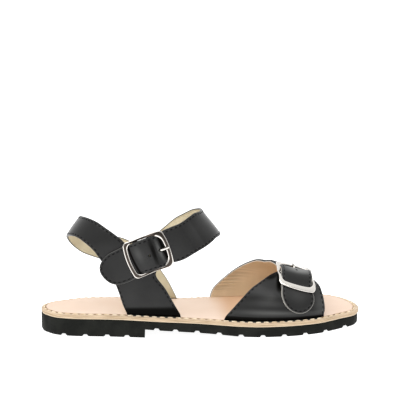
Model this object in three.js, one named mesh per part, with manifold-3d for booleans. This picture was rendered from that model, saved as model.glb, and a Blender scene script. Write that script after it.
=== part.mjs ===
import * as THREE from "three";
import Module from "manifold-3d";

const wasm = await Module();
wasm.setup();

// Driving dimensions of the shoe, millimetres and degrees.
const soleLength = 256; // heel back to toe tip
const ballWidth = 92; // outsole width at the ball
const heelRubber = 13.8; // floor to the top of the rubber at the heel
const foreRubber = 7.9; // floor to the top of the rubber at the ball
const waistRise = 6.6; // underside of the waist above the floor, at the heel breast
const weltThickness = 3.2;
const weltLedge = 3; // visible rim of the welt outside the upper
const insoleThickness = 1.6;
const insoleProud = 0.6; // insole top above the welt rim
const instepHeight = 54; // floor to the inside of the vamp at its crest
const ankleHeight = 96; // floor to the upper edge of the ankle strap
const leather = 1.9; // wall of every strap and panel
const clearance = 0.3; // gap between pieces that meet
const lugPitch = 17.1;
const lugDepth = 1.6;
const lugMouth = 5; // groove width at the tread face
const lugRoot = 2.4; // groove width at its bottom
const buckleLength = 31.4; // along the strap, at the frame's corners
const buckleWidth = 29.8; // across the strap
const buckleBand = 2; // width of the frame's side bars
const endBand = 3.2; // width of the two bars across the strap
const buckleBow = 1; // outward bow of those two bars
const buckleThickness = 1.7;
const buckleCorner = 2.4; // middle line of the frame at its corners
const barThickness = 1.6; // centre bar, through the chape
const barWidth = 2.4;
const prongWidth = 1.9;
const chapeWall = 1; // thin leather loop that holds the centre bar
const chapeReach = 7; // from the bar to each foot of the loop
const chapeFoot = 2; // length of each foot, stitched down
const chapeGap = 1.6; // from the prong to the loop beside it
const chapeInset = 6.5; // from the frame's side to the loop
const prongThickness = 1;
const prongOverhang = 1.2; // prong tip past the middle of the frame's end bar
const stitchSink = 0.4; // how far a stitched piece sinks into the one below, so the two are one body
const strapPlay = 1.2; // strap edge to the frame, each side
const strapTip = 12; // radius of the rounded strap ends
const humpEnd = 2.5; // from the frame's end to where the strap begins to rise over the bar
const humpCrest = 5.5; // from the frame's end to where the strap is at its full rise
const neckLength = 6; // from the frame's end to where the strap is at its full width
const flatSag = 0.3; // allowance for flat faces over a curved piece
const holeSize = 3.2; // punched hole the prong stands in
const holeFromEnd = 9; // from the middle of the frame's end bar to the near edge of the hole
const heelCentre = 0.117 * soleLength; // middle of the heel's flat face, the origin of the frame

// Outsole seen from above: stations along the sole, half widths as shares of the ball width.
const outlineRows = [
  { x: 0, lateral: -0.011, medial: 0.011 },
  { x: 0.006, lateral: 0.085, medial: 0.085 },
  { x: 0.0195, lateral: 0.154, medial: 0.144 },
  { x: 0.039, lateral: 0.221, medial: 0.195 },
  { x: 0.078, lateral: 0.279, medial: 0.244 },
  { x: 0.117, lateral: 0.308, medial: 0.286 },
  { x: 0.156, lateral: 0.326, medial: 0.308 },
  { x: 0.2, lateral: 0.344, medial: 0.306 },
  { x: 0.26, lateral: 0.379, medial: 0.298 },
  { x: 0.3166, lateral: 0.411, medial: 0.287 },
  { x: 0.37, lateral: 0.432, medial: 0.281 },
  { x: 0.43, lateral: 0.44, medial: 0.291 },
  { x: 0.48, lateral: 0.441, medial: 0.33 },
  { x: 0.53, lateral: 0.454, medial: 0.39 },
  { x: 0.59, lateral: 0.479, medial: 0.446 },
  { x: 0.65, lateral: 0.495, medial: 0.481 },
  { x: 0.7, lateral: 0.5, medial: 0.496 },
  { x: 0.75, lateral: 0.493, medial: 0.501 },
  { x: 0.8, lateral: 0.468, medial: 0.499 },
  { x: 0.86, lateral: 0.412, medial: 0.483 },
  { x: 0.9, lateral: 0.34, medial: 0.458 },
  { x: 0.93, lateral: 0.279, medial: 0.414 },
  { x: 0.957, lateral: 0.231, medial: 0.341 },
  { x: 0.976, lateral: 0.186, medial: 0.255 },
  { x: 0.988, lateral: 0.13, medial: 0.183 },
  { x: 0.996, lateral: 0.07, medial: 0.108 },
  { x: 1, lateral: -0.005, medial: 0.014 },
];

// Side profile of the rubber: top as a share between the ball and heel heights, underside as a
// share of the waist rise.
const heelBreast = 0.3166; // share of the sole length
const breastSlope = 0.0005;
const profileRows = [
  { x: 0, top: 1, under: 0 },
  { x: 0.25, top: 0.97, under: 0 },
  { x: heelBreast - breastSlope, top: 0.89, under: 0 },
  { x: heelBreast + breastSlope, top: 0.89, under: 1 },
  { x: 0.42, top: 0.66, under: 0.72 },
  { x: 0.53, top: 0.3, under: 0.36 },
  { x: 0.61, top: 0.08, under: 0.08 },
  { x: 0.66, top: 0, under: 0 },
  { x: 1, top: 0, under: 0 },
];

const featherShare = 0.17; // level of the sole's edge, share of the ankle height
const featherBlend = 0.34; // further levels over which the side leaves the sole's edge

// The form of the foot at the ankle: level, rear and front as shares of the ankle height and the
// sole length, half widths as shares of the ball width.
const ankleRows = [
  { z: featherShare, rear: 0.055, front: 0.66, lateral: 0.385, medial: 0.317 },
  { z: 0.45, rear: 0.062, front: 0.62, lateral: 0.385, medial: 0.317 },
  { z: 0.62, rear: 0.07, front: 0.588, lateral: 0.38, medial: 0.346 },
  { z: 0.78, rear: 0.091, front: 0.553, lateral: 0.375, medial: 0.356 },
  { z: 0.93, rear: 0.132, front: 0.51, lateral: 0.361, medial: 0.356 },
  { z: 1.05, rear: 0.17, front: 0.478, lateral: 0.346, medial: 0.346 },
];
const ankleFullness = 2.5;

// The form of the forefoot: crest height as a share of the instep height.
const vampRows = [
  { x: 0.5, crest: 1.0 },
  { x: 0.59, crest: 1.0 },
  { x: 0.65, crest: 0.955 },
  { x: 0.703, crest: 0.88 },
  { x: 0.742, crest: 0.822 },
  { x: 0.793, crest: 0.752 },
  { x: 0.844, crest: 0.695 },
  { x: 0.9, crest: 0.62 },
];
const vampFullness = 2.6;

const along = (share) => share * soleLength;
const radians = (degrees) => (degrees * Math.PI) / 180;
const smooth = (t) => {
  const c = Math.min(1, Math.max(0, t));
  return c * c * (3 - 2 * c);
};

// Value of one column at a station, straight or curved between the rows.
function column(rows, key, name, at, curved = true) {
  const last = rows.length - 1;
  let i = rows.findIndex((row) => row[key] > at) - 1;
  if (at >= rows[last][key]) i = last - 1;
  i = Math.min(Math.max(i, 0), last - 1);
  const a = rows[i];
  const b = rows[i + 1];
  const span = b[key] - a[key];
  const t = Math.min(1, Math.max(0, (at - a[key]) / span));
  if (!curved) return a[name] + (b[name] - a[name]) * t;
  const before = rows[Math.max(i - 1, 0)];
  const after = rows[Math.min(i + 2, last)];
  const slope = (p, q) => ((q[name] - p[name]) / (q[key] - p[key])) * span;
  const m0 = slope(before, b);
  const m1 = slope(a, after);
  const t2 = t * t;
  const t3 = t2 * t;
  return (
    (2 * t3 - 3 * t2 + 1) * a[name] + (t3 - 2 * t2 + t) * m0 + (3 * t2 - 2 * t3) * b[name] + (t3 - t2) * m1
  );
}

// Edge of the sole at a station, drawn in by an inset measured square to the edge.
const edges = {};
function edgeCurve(side, inset) {
  const id = side + inset;
  if (edges[id]) return edges[id];
  const samples = [];
  const steps = 240;
  for (let i = 0; i <= steps; i++) {
    const share = (1 - Math.cos((Math.PI * i) / steps)) / 2;
    samples.push({ x: along(share), y: column(outlineRows, "x", side, share) * ballWidth });
  }
  const points = samples.map((p, i) => {
    const a = samples[Math.max(i - 1, 0)];
    const b = samples[Math.min(i + 1, steps)];
    const length = Math.hypot(b.x - a.x, b.y - a.y);
    return { x: p.x + (inset * (b.y - a.y)) / length, y: p.y - (inset * (b.x - a.x)) / length };
  });
  edges[id] = points.filter((p, i) => i === 0 || p.x > points[i - 1].x);
  return edges[id];
}
function halfWidth(side, x, inset) {
  return column(edgeCurve(side, inset), "x", "y", x, false);
}

const rubberTop = (x) =>
  foreRubber + (heelRubber - foreRubber) * column(profileRows, "x", "top", x / soleLength, false);
const rubberUnder = (x) => waistRise * column(profileRows, "x", "under", x / soleLength, false);
const weltUnder = (x) => rubberTop(x) + clearance;
const weltTop = (x) => weltUnder(x) + weltThickness;
const insoleTop = (x) => weltTop(x) + insoleProud;
const featherLevel = (x) => insoleTop(x) + clearance;
const featherInset = weltLedge + clearance + leather;

// Closed solid from a list of vertices and triangles.
function solid(points, faces) {
  const vertProperties = new Float32Array(points.length * 3);
  points.forEach((p, i) => vertProperties.set([p.x - heelCentre, p.y, p.z], i * 3));
  const triVerts = new Uint32Array(faces.flat());
  const made = new wasm.Manifold(new wasm.Mesh({ numProp: 3, vertProperties, triVerts }));
  if (made.volume() > 0) return made;
  const turned = new Uint32Array(faces.map(([a, b, c]) => [a, c, b]).flat());
  return new wasm.Manifold(new wasm.Mesh({ numProp: 3, vertProperties, triVerts: turned }));
}

// Loft through rings of the same number of points, closed on itself or capped at both ends.
function loft(rings, closed = false) {
  const n = rings[0].length;
  const points = rings.flat();
  const faces = [];
  const count = rings.length;
  for (let i = 0; i < (closed ? count : count - 1); i++) {
    const a = i * n;
    const b = ((i + 1) % count) * n;
    for (let j = 0; j < n; j++) {
      const k = (j + 1) % n;
      faces.push([a + j, a + k, b + k]);
      faces.push([a + j, b + k, b + j]);
    }
  }
  if (closed) return solid(points, faces);
  const end = (count - 1) * n;
  for (let j = 0; j < n / 2 - 1; j++) {
    const mate = n - 1 - j;
    faces.push([j + 1, j, mate]);
    faces.push([j + 1, mate, mate - 1]);
    faces.push([end + j, end + j + 1, end + mate]);
    faces.push([end + j + 1, end + mate - 1, end + mate]);
  }
  return solid(points, faces);
}

// Stations along the sole, closer together where the outline turns at both ends.
function stationsOf(inset, extra = []) {
  const first = Math.max(edgeCurve("lateral", inset)[0].x, edgeCurve("medial", inset)[0].x);
  const last = Math.min(edgeCurve("lateral", inset).at(-1).x, edgeCurve("medial", inset).at(-1).x);
  const steps = 46;
  const list = extra.filter((x) => x > first + 1 && x < last - 1);
  for (let i = 0; i <= steps; i++) {
    list.push(first + ((last - first) * (1 - Math.cos((Math.PI * i) / steps))) / 2);
  }
  list.sort((a, b) => a - b);
  return list.filter((x, i) => i === 0 || i === list.length - 1 || x - list[i - 1] > 0.25);
}
function slab(inset, under, top, extra) {
  const rings = stationsOf(inset, extra).map((x) => {
    const lateral = -halfWidth("lateral", x, inset);
    const medial = halfWidth("medial", x, inset);
    return [
      new THREE.Vector3(x, lateral, under(x)),
      new THREE.Vector3(x, medial, under(x)),
      new THREE.Vector3(x, medial, top(x)),
      new THREE.Vector3(x, lateral, top(x)),
    ];
  });
  return loft(rings);
}

// Grooves across the tread: one set in the heel block, one from the waist to the toe.
const breast = along(heelBreast);
const grooves = [0.068, 0.134, 0.201, 0.2615, 0.3525].map(along);
for (let x = along(0.4103); x < soleLength - 0.6 * lugPitch; x += lugPitch) grooves.push(x);
function treadUnder(x) {
  let cut = 0;
  for (const g of grooves) {
    const off = Math.abs(x - g);
    const wall = (lugMouth - lugRoot) / 2;
    cut = Math.max(cut, lugDepth * Math.min(1, Math.max(0, (lugMouth / 2 - off) / wall)));
  }
  return rubberUnder(x) + cut;
}
const treadStations = grooves.flatMap((g) => [
  g - lugMouth / 2,
  g - lugRoot / 2,
  g + lugRoot / 2,
  g + lugMouth / 2,
]);
treadStations.push(breast - 0.3, breast + 0.3);

const outsole = slab(0, treadUnder, rubberTop, treadStations);
const recessFloor = (x) => insoleTop(x) - insoleThickness - clearance;
const welt = slab(0, weltUnder, weltTop).subtract(slab(weltLedge, recessFloor, (x) => weltTop(x) + 5));
const insole = slab(weltLedge + clearance, (x) => recessFloor(x) + clearance, insoleTop);

const power = (value, exponent) => Math.sign(value) * Math.abs(value) ** exponent;

// Point of the ankle form: turn 0 at the heel, 90 lateral, 180 in front, -90 medial; level in mm.
function anklePoint(turn, level) {
  const z = level / ankleHeight;
  const rear = along(column(ankleRows, "z", "rear", z));
  const front = along(column(ankleRows, "z", "front", z));
  const side = Math.sin(radians(turn)) > 0 ? "lateral" : "medial";
  const reach = column(ankleRows, "z", side, z) * ballWidth;
  const x = (rear + front) / 2 - ((front - rear) / 2) * power(Math.cos(radians(turn)), 2 / ankleFullness);
  const free = reach * power(Math.abs(Math.sin(radians(turn))), 2 / ankleFullness);
  const share = smooth((z - featherShare) / featherBlend);
  const edge = halfWidth(side, x, featherInset);
  const y = edge + (free - edge) * share;
  return new THREE.Vector3(x, side === "lateral" ? -y : y, level);
}

// Point of the forefoot form: turn 0 at the lateral edge, 180 at the medial edge; x in mm.
function vampPoint(turn, x) {
  const floor = featherLevel(x);
  const crest = column(vampRows, "x", "crest", x / soleLength) * instepHeight;
  const lateral = halfWidth("lateral", x, featherInset);
  const medial = halfWidth("medial", x, featherInset);
  const middle = (medial - lateral) / 2;
  const reach = (medial + lateral) / 2;
  const y = middle - reach * power(Math.cos(radians(turn)), 2 / vampFullness);
  const z = floor + (crest - floor) * power(Math.sin(radians(turn)), 2 / vampFullness);
  return new THREE.Vector3(x, y, z);
}
const ankleForm = { point: anklePoint, hub: () => new THREE.Vector3(along(0.32), 0, 60) };
const vampForm = { point: vampPoint, hub: (p) => new THREE.Vector3(p.x - 15, 0, 5) };

function squareTo(form, a, b) {
  const step = 0.2;
  const p = form.point(a, b);
  const da = form.point(a + step, b).sub(form.point(a - step, b));
  const db = form.point(a, b + step).sub(form.point(a, b - step));
  const n = da.cross(db).normalize();
  return n.dot(p.clone().sub(form.hub(p))) < 0 ? n.negate() : n;
}

// Height of a strap's inner face above the form, by what it lies on.
const heights = {
  form: 0,
  stitched: leather - stitchSink,
  leather: leather + clearance,
};
const barHeight = leather + clearance + barThickness / 2;
const chapeUnder = barHeight + barThickness / 2 + clearance;
const humpRise = chapeUnder + chapeWall - leather + flatSag; // lift of the strap over the centre bar
const frameHeight = 2 * leather + 2 * clearance + buckleThickness / 2;

// A band of leather on a form. Each row gives the two edges of one section as a pair of form
// coordinates; the sections are spaced evenly between the rows, closer at a rounded tip.
function band(form, rows, options) {
  const table = rows.map((row) => ({ ...row, lift: heights[row.on] }));
  let run = 0;
  table.forEach((row, i) => {
    const middle = form.point((row.a1 + row.a2) / 2, (row.b1 + row.b2) / 2);
    if (i > 0) run += middle.distanceTo(table[i - 1].middle);
    row.middle = middle;
    row.run = run;
  });
  const edge = (at) => {
    const pick = (name, curved = true) => column(table, "run", name, at, curved);
    return { a1: pick("a1"), b1: pick("b1"), a2: pick("a2"), b2: pick("b2"), lift: pick("lift", false) };
  };
  const runs = [];
  const tip = options.tip ?? 0;
  const steps = Math.round((run - tip) / options.spacing);
  for (let i = 0; i <= steps; i++) runs.push(((run - tip) * i) / steps);
  const tipSteps = 7;
  for (let i = 1; tip > 0 && i <= tipSteps; i++) {
    runs.push(run - tip + tip * Math.sin((0.97 * Math.PI * i) / (2 * tipSteps)));
  }
  const rise = (at) => {
    if (options.buckleAt === undefined) return 0;
    const off = Math.abs(at - table[options.buckleAt].run);
    return humpRise * smooth((buckleLength / 2 - humpEnd - off) / (buckleLength / 2 - humpCrest));
  };
  // Share of its width a section keeps, so that the strap passes between the frame's sides.
  const fit = (at, e) => {
    if (options.buckleAt === undefined) return 1;
    const off = Math.abs(at - table[options.buckleAt].run);
    const width = form.point(e.a1, e.b1).distanceTo(form.point(e.a2, e.b2));
    const most = Math.min(1, (buckleWidth - 2 * buckleBand - 2 * strapPlay) / width);
    return 1 + (most - 1) * smooth((buckleLength / 2 + neckLength - off) / (neckLength - 1));
  };
  const across = options.across;
  const rings = runs.map((at, i) => {
    const e = edge(at);
    const into = Math.max(0, at - (run - tip));
    const narrow = tip > 0 ? Math.sqrt(Math.max(0, 1 - (into / tip) ** 2)) * fit(at, e) : 1;
    const outer = [];
    const inner = [];
    const seated = options.seated?.includes(i === 0 ? "first" : i === runs.length - 1 ? "last" : "none");
    for (let j = 0; j <= across; j++) {
      const share = 0.5 + (j / across - 0.5) * narrow;
      const a = e.a1 + (e.a2 - e.a1) * share;
      let b = e.b1 + (e.b2 - e.b1) * share;
      if (seated) {
        for (let pass = 0; pass < 3; pass++) b = featherLevel(form.point(a, b).x);
      }
      const n = squareTo(form, a, b);
      const p = form.point(a, b);
      const low = e.lift + rise(at);
      const top = p.clone().addScaledVector(n, low + leather);
      const under = p.clone().addScaledVector(n, low);
      if (seated) {
        top.z = featherLevel(top.x);
        under.z = featherLevel(under.x);
      }
      outer.push(top);
      inner.unshift(under);
    }
    return [...outer, ...inner];
  });
  // Frame of reference on the band at a row, and the point at a distance along, across and above.
  const placed = (index) => {
    const at = table[index].run;
    const centre = (run2) => {
      const e = edge(run2);
      return { a: (e.a1 + e.a2) / 2, b: (e.b1 + e.b2) / 2 };
    };
    const c = centre(at);
    const origin = form.point(c.a, c.b);
    const ahead = centre(at + 0.4 * buckleLength);
    const behind = centre(at - 0.4 * buckleLength);
    const normal = squareTo(form, c.a, c.b);
    const forward = form.point(ahead.a, ahead.b).sub(form.point(behind.a, behind.b));
    forward.addScaledVector(normal, -forward.dot(normal)).normalize();
    const sideways = normal.clone().cross(forward).normalize();
    const point = (s, w, h) => {
      const aim = origin.clone().addScaledVector(forward, s).addScaledVector(sideways, w);
      let { a, b } = c;
      for (let pass = 0; pass < 12; pass++) {
        const step = 0.2;
        const p = form.point(a, b);
        const pa = form.point(a + step, b).sub(p).divideScalar(step);
        const pb = form.point(a, b + step).sub(p).divideScalar(step);
        const miss = aim.clone().sub(p);
        const m = [pa.dot(forward), pb.dot(forward), pa.dot(sideways), pb.dot(sideways)];
        const r = [miss.dot(forward), miss.dot(sideways)];
        const det = m[0] * m[3] - m[1] * m[2];
        a += (r[0] * m[3] - m[1] * r[1]) / det;
        b += (m[0] * r[1] - r[0] * m[2]) / det;
      }
      const n = squareTo(form, a, b);
      return { p: form.point(a, b).addScaledVector(n, h), n };
    };
    return { point, sideways };
  };
  return { body: loft(rings), placed };
}

// Bar of a flat eight-sided section along a line of points, of one width or a width at each point.
function bar(line, sides, widths, thick, closed = false) {
  const count = line.length;
  const rings = line.map((p, i) => {
    const wide = widths[i] ?? widths;
    const before = line[closed ? (i + count - 1) % count : Math.max(i - 1, 0)];
    const after = line[closed ? (i + 1) % count : Math.min(i + 1, count - 1)];
    const tangent = after.clone().sub(before).normalize();
    const side = sides[i].clone();
    side.addScaledVector(tangent, -side.dot(tangent)).normalize();
    const up = side.clone().cross(tangent);
    const bevel = Math.min(wide, thick) * 0.3;
    const corners = [
      [wide / 2, thick / 2 - bevel],
      [wide / 2 - bevel, thick / 2],
      [-wide / 2 + bevel, thick / 2],
      [-wide / 2, thick / 2 - bevel],
      [-wide / 2, -thick / 2 + bevel],
      [-wide / 2 + bevel, -thick / 2],
      [wide / 2 - bevel, -thick / 2],
      [wide / 2, -thick / 2 + bevel],
    ];
    return corners.map(([u, v]) => p.clone().addScaledVector(side, u).addScaledVector(up, v));
  });
  return loft(rings, closed);
}

// Frame, centre bar, prong, chape and cutters of one buckle, draped on a strap's form. The prong
// points along the strap by the given sign.
function buckle(place, sign) {
  const halfLength = (buckleLength - endBand) / 2;
  const halfBreadth = (buckleWidth - buckleBand) / 2;
  const outline = [];
  const corner = 4;
  for (const [cs, cw, from] of [
    [1, 1, 0],
    [-1, 1, 90],
    [-1, -1, 180],
    [1, -1, 270],
  ]) {
    for (let i = 0; i <= corner; i++) {
      const angle = radians(from + (90 * i) / corner);
      outline.push({
        s: cs * (halfLength - buckleCorner) + buckleCorner * Math.cos(angle),
        w: cw * (halfBreadth - buckleCorner) + buckleCorner * Math.sin(angle),
        band: buckleBand + (endBand - buckleBand) * Math.cos(angle) ** 2,
      });
    }
    const straight = cs * cw > 0 ? halfLength - buckleCorner : halfBreadth - buckleCorner;
    for (const share of [0.5, 0, -0.5]) {
      if (cs * cw > 0) outline.push({ s: cs * straight * share, w: cw * halfBreadth, band: buckleBand });
      else outline.push({ s: cs * halfLength, w: cw * straight * share, band: endBand });
    }
  }
  for (const q of outline) q.s += Math.sign(q.s) * buckleBow * (1 - (q.w / halfBreadth) ** 2);
  const arc = (s) =>
    barHeight + (frameHeight - barHeight) * smooth(Math.abs(s) / (halfLength - buckleCorner - 1));
  const posts = outline.map(({ s, w }) => place.point(s, w, arc(s)));
  const line = posts.map((q) => q.p);
  const sides = posts.map((q, i) => {
    const before = line[(i + line.length - 1) % line.length];
    const after = line[(i + 1) % line.length];
    return after.clone().sub(before).normalize().cross(q.n);
  });
  const bands = outline.map((q) => q.band);
  let frame = bar(line, sides, bands, buckleThickness, true);
  const barPoints = [-1, -0.6, -0.2, 0.2, 0.6, 1].map((t) => place.point(0, t * halfBreadth, barHeight).p);
  const forward = place.point(1, 0, 0).p.sub(place.point(-1, 0, 0).p).normalize();
  frame = frame.add(bar(barPoints, barPoints.map(() => forward), barWidth, barThickness));

  const curlS = barWidth / 2 + clearance + prongThickness / 2;
  const curlH = barThickness / 2 + clearance + prongThickness / 2;
  const path = [];
  for (let angle = 40; angle <= 330; angle += 29) {
    path.push([curlS * Math.cos(radians(angle)), barHeight + curlH * Math.sin(radians(angle))]);
  }
  const rest = frameHeight + buckleThickness / 2 + clearance + prongThickness / 2;
  const low = leather + clearance + prongThickness / 2 + flatSag;
  const end = halfLength + buckleBow;
  const through = end - holeFromEnd + holeSize / 2; // where the prong rises out of the hole
  path.push([curlS * 2, low], [through - holeSize / 3, low + 1], [through + holeSize / 5, rest - 0.8]);
  path.push([through + holeSize * 0.7, rest], [end, rest], [end + prongOverhang, rest]);
  const prongLine = path.map(([s, h]) => place.point(sign * s, 0, h).p);
  const prong = bar(prongLine, prongLine.map(() => place.sideways), prongWidth, prongThickness);

  const foot = leather - stitchSink;
  const arch = [
    [-chapeReach, foot],
    [-chapeReach + chapeFoot, foot],
    [-barWidth, chapeUnder],
    [0, chapeUnder],
    [barWidth, chapeUnder],
    [chapeReach - chapeFoot, foot],
    [chapeReach, foot],
  ];
  const chapes = [1, -1].map((half) => {
    const near = half * (prongWidth / 2 + chapeGap);
    const far = half * (halfBreadth - chapeInset);
    const rings = arch.map(([s, h]) => [
      place.point(s, near, h).p,
      place.point(s, far, h).p,
      place.point(s, far, h + chapeWall).p,
      place.point(s, near, h + chapeWall).p,
    ]);
    return loft(rings);
  });
  const block = (s0, s1, w, h0, h1) => {
    const ring = (s) => [
      place.point(s, -w, h0).p,
      place.point(s, w, h0).p,
      place.point(s, w, h1).p,
      place.point(s, -w, h1).p,
    ];
    return loft([ring(s0), ring(s1)]);
  };
  const reach = curlS + prongThickness / 2 + clearance;
  const slotFloor = barHeight - curlH - prongThickness;
  const slot = block(-reach, reach, prongWidth / 2 + clearance, slotFloor, chapeUnder);
  const near = sign * (end - holeFromEnd);
  const hole = block(Math.min(near, near + sign * holeSize), Math.max(near, near + sign * holeSize),
    holeSize / 2, leather, leather + 4 * humpRise);
  return { frame, prong, chapes, slot, hole };
}

// Heel strap with its two quarters: upper or front edge first, lower or rear edge second.
const quarterRows = [
  { upTurn: 99.5, upLevel: 0.18, lowTurn: 77, lowLevel: 0.19 },
  { upTurn: 97.4, upLevel: 0.271, lowTurn: 75.2, lowLevel: 0.26 },
  { upTurn: 94.7, upLevel: 0.403, lowTurn: 73.2, lowLevel: 0.38 },
  { upTurn: 91.8, upLevel: 0.52, lowTurn: 70.6, lowLevel: 0.485 },
  { upTurn: 94, upLevel: 0.6, lowTurn: 68.3, lowLevel: 0.53 },
  { upTurn: 97, upLevel: 0.7, lowTurn: 67, lowLevel: 0.57 },
  { upTurn: 96, upLevel: 0.785, lowTurn: 64.5, lowLevel: 0.612 },
  { upTurn: 87, upLevel: 0.78, lowTurn: 61.5, lowLevel: 0.65 },
  { upTurn: 80, upLevel: 0.785, lowTurn: 58, lowLevel: 0.69 },
  { upTurn: 74.6, upLevel: 0.831, lowTurn: 54.5, lowLevel: 0.722 },
  { upTurn: 62, upLevel: 0.895, lowTurn: 46.1, lowLevel: 0.767 },
  { upTurn: 44, upLevel: 0.947, lowTurn: 33, lowLevel: 0.802 },
  { upTurn: 24, upLevel: 0.96, lowTurn: 20, lowLevel: 0.808 },
  { upTurn: 3, upLevel: 0.945, lowTurn: 3, lowLevel: 0.785 },
  { upTurn: -17, upLevel: 0.905, lowTurn: -17, lowLevel: 0.725 },
  { upTurn: -34, upLevel: 0.835, lowTurn: -33, lowLevel: 0.648 },
  { upTurn: -50, upLevel: 0.765, lowTurn: -45.5, lowLevel: 0.582 },
  { upTurn: -66, upLevel: 0.713, lowTurn: -56.5, lowLevel: 0.537 },
  { upTurn: -80, upLevel: 0.676, lowTurn: -65, lowLevel: 0.5 },
  { upTurn: -88.5, upLevel: 0.595, lowTurn: -70.5, lowLevel: 0.44 },
  { upTurn: -93, upLevel: 0.455, lowTurn: -74, lowLevel: 0.36 },
  { upTurn: -97, upLevel: 0.32, lowTurn: -76.5, lowLevel: 0.275 },
  { upTurn: -99.7, upLevel: 0.175, lowTurn: -78.5, lowLevel: 0.19 },
];

// Ankle strap from the stitched medial crossing, round the front, to the lateral tab.
const ankleStrapRows = [
  { upTurn: -83, upLevel: 0.56, lowTurn: -87, lowLevel: 0.34, on: "stitched" },
  { upTurn: -92, upLevel: 0.652, lowTurn: -95, lowLevel: 0.43, on: "stitched" },
  { upTurn: -100.5, upLevel: 0.742, lowTurn: -103, lowLevel: 0.515, on: "stitched" },
  { upTurn: -112.9, upLevel: 0.834, lowTurn: -113.5, lowLevel: 0.6, on: "form" },
  { upTurn: -124.9, upLevel: 0.882, lowTurn: -126, lowLevel: 0.66, on: "form" },
  { upTurn: -141.1, upLevel: 0.927, lowTurn: -141, lowLevel: 0.705, on: "form" },
  { upTurn: -157, upLevel: 0.951, lowTurn: -157, lowLevel: 0.735, on: "form" },
  { upTurn: -180, upLevel: 0.975, lowTurn: -180, lowLevel: 0.76, on: "form" },
  { upTurn: -203, upLevel: 0.988, lowTurn: -202, lowLevel: 0.771, on: "form" },
  { upTurn: -214, upLevel: 0.989, lowTurn: -213.6, lowLevel: 0.754, on: "form" },
  { upTurn: -228.4, upLevel: 0.966, lowTurn: -225.3, lowLevel: 0.727, on: "form" },
  { upTurn: -243, upLevel: 0.932, lowTurn: -238, lowLevel: 0.695, on: "leather" },
  { upTurn: -253.5, upLevel: 0.902, lowTurn: -250, lowLevel: 0.651, on: "leather" },
  { upTurn: -263, upLevel: 0.868, lowTurn: -258.5, lowLevel: 0.625, on: "leather" },
  { upTurn: -272.2, upLevel: 0.824, lowTurn: -267, lowLevel: 0.578, on: "leather" },
  { upTurn: -280, upLevel: 0.774, lowTurn: -273.6, lowLevel: 0.53, on: "leather" },
  { upTurn: -287, upLevel: 0.738, lowTurn: -281, lowLevel: 0.474, on: "leather" },
  { upTurn: -295, upLevel: 0.695, lowTurn: -290.5, lowLevel: 0.45, on: "leather" },
  { upTurn: -299.4, upLevel: 0.69, lowTurn: -298, lowLevel: 0.465, on: "leather" },
];
const ankleBuckleRow = 14;

// Vamp panels: turn round the forefoot, rear and front edges as shares of the sole length.
const lateralPanelRows = [
  { turn: 0, rear: 0.5605, front: 0.869 },
  { turn: 7.6, rear: 0.5855, front: 0.8725 },
  { turn: 14.2, rear: 0.603, front: 0.873 },
  { turn: 20.9, rear: 0.619, front: 0.8715 },
  { turn: 34.1, rear: 0.6484, front: 0.869 },
  { turn: 43.2, rear: 0.6707, front: 0.867 },
  { turn: 56, rear: 0.6973, front: 0.863 },
  { turn: 68.4, rear: 0.7215, front: 0.851 },
  { turn: 74, rear: 0.732, front: 0.842 },
];
const medialPanelRows = [
  { turn: 180, rear: 0.5395, front: 0.871, on: "form" },
  { turn: 173.1, rear: 0.553, front: 0.874, on: "form" },
  { turn: 161.2, rear: 0.592, front: 0.872, on: "form" },
  { turn: 143.9, rear: 0.6405, front: 0.866, on: "form" },
  { turn: 132.4, rear: 0.666, front: 0.862, on: "form" },
  { turn: 118, rear: 0.687, front: 0.856, on: "form" },
  { turn: 105, rear: 0.706, front: 0.849, on: "form" },
  { turn: 97, rear: 0.72, front: 0.843, on: "leather" },
  { turn: 88, rear: 0.74, front: 0.831, on: "leather" },
  { turn: 78, rear: 0.742, front: 0.83, on: "leather" },
  { turn: 69.5, rear: 0.742, front: 0.831, on: "leather" },
  { turn: 41, rear: 0.7405, front: 0.828, on: "leather" },
  { turn: 31, rear: 0.737, front: 0.834, on: "leather" },
  { turn: 22, rear: 0.738, front: 0.837, on: "leather" },
  { turn: 13, rear: 0.741, front: 0.838, on: "leather" },
  { turn: 5.6, rear: 0.745, front: 0.84, on: "leather" },
];
const vampBuckleRow = 10;

const ankleBand = (rows, options) =>
  band(
    ankleForm,
    rows.map((row) => ({
      a1: row.upTurn,
      b1: row.upLevel * ankleHeight,
      a2: row.lowTurn,
      b2: row.lowLevel * ankleHeight,
      on: row.on ?? "form",
    })),
    options,
  );
const vampBand = (rows, options) =>
  band(
    vampForm,
    rows.map((row) => ({
      a1: row.turn,
      b1: along(row.rear),
      a2: row.turn,
      b2: along(row.front),
      on: row.on ?? "form",
    })),
    options,
  );

const quarters = ankleBand(quarterRows, { spacing: 5, across: 6, seated: ["first", "last"] });
const ankleStrap = ankleBand(ankleStrapRows, {
  spacing: 3.2,
  across: 5,
  tip: strapTip,
  buckleAt: ankleBuckleRow,
});
const lateralPanel = vampBand(lateralPanelRows, { spacing: 4.5, across: 12 });
const medialPanel = vampBand(medialPanelRows, {
  spacing: 3.2,
  across: 8,
  tip: strapTip,
  buckleAt: vampBuckleRow,
});

const ankleBuckle = buckle(ankleStrap.placed(ankleBuckleRow), -1);
const vampBuckle = buckle(medialPanel.placed(vampBuckleRow), -1);

const rearUpper = quarters.body
  .add(ankleStrap.body.subtract(ankleBuckle.hole))
  .subtract(ankleBuckle.slot)
  .add(ankleBuckle.chapes[0])
  .add(ankleBuckle.chapes[1]);
const vampLateral = lateralPanel.body
  .subtract(vampBuckle.slot)
  .add(vampBuckle.chapes[0])
  .add(vampBuckle.chapes[1]);
const vampMedial = medialPanel.body.subtract(vampBuckle.hole);

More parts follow.
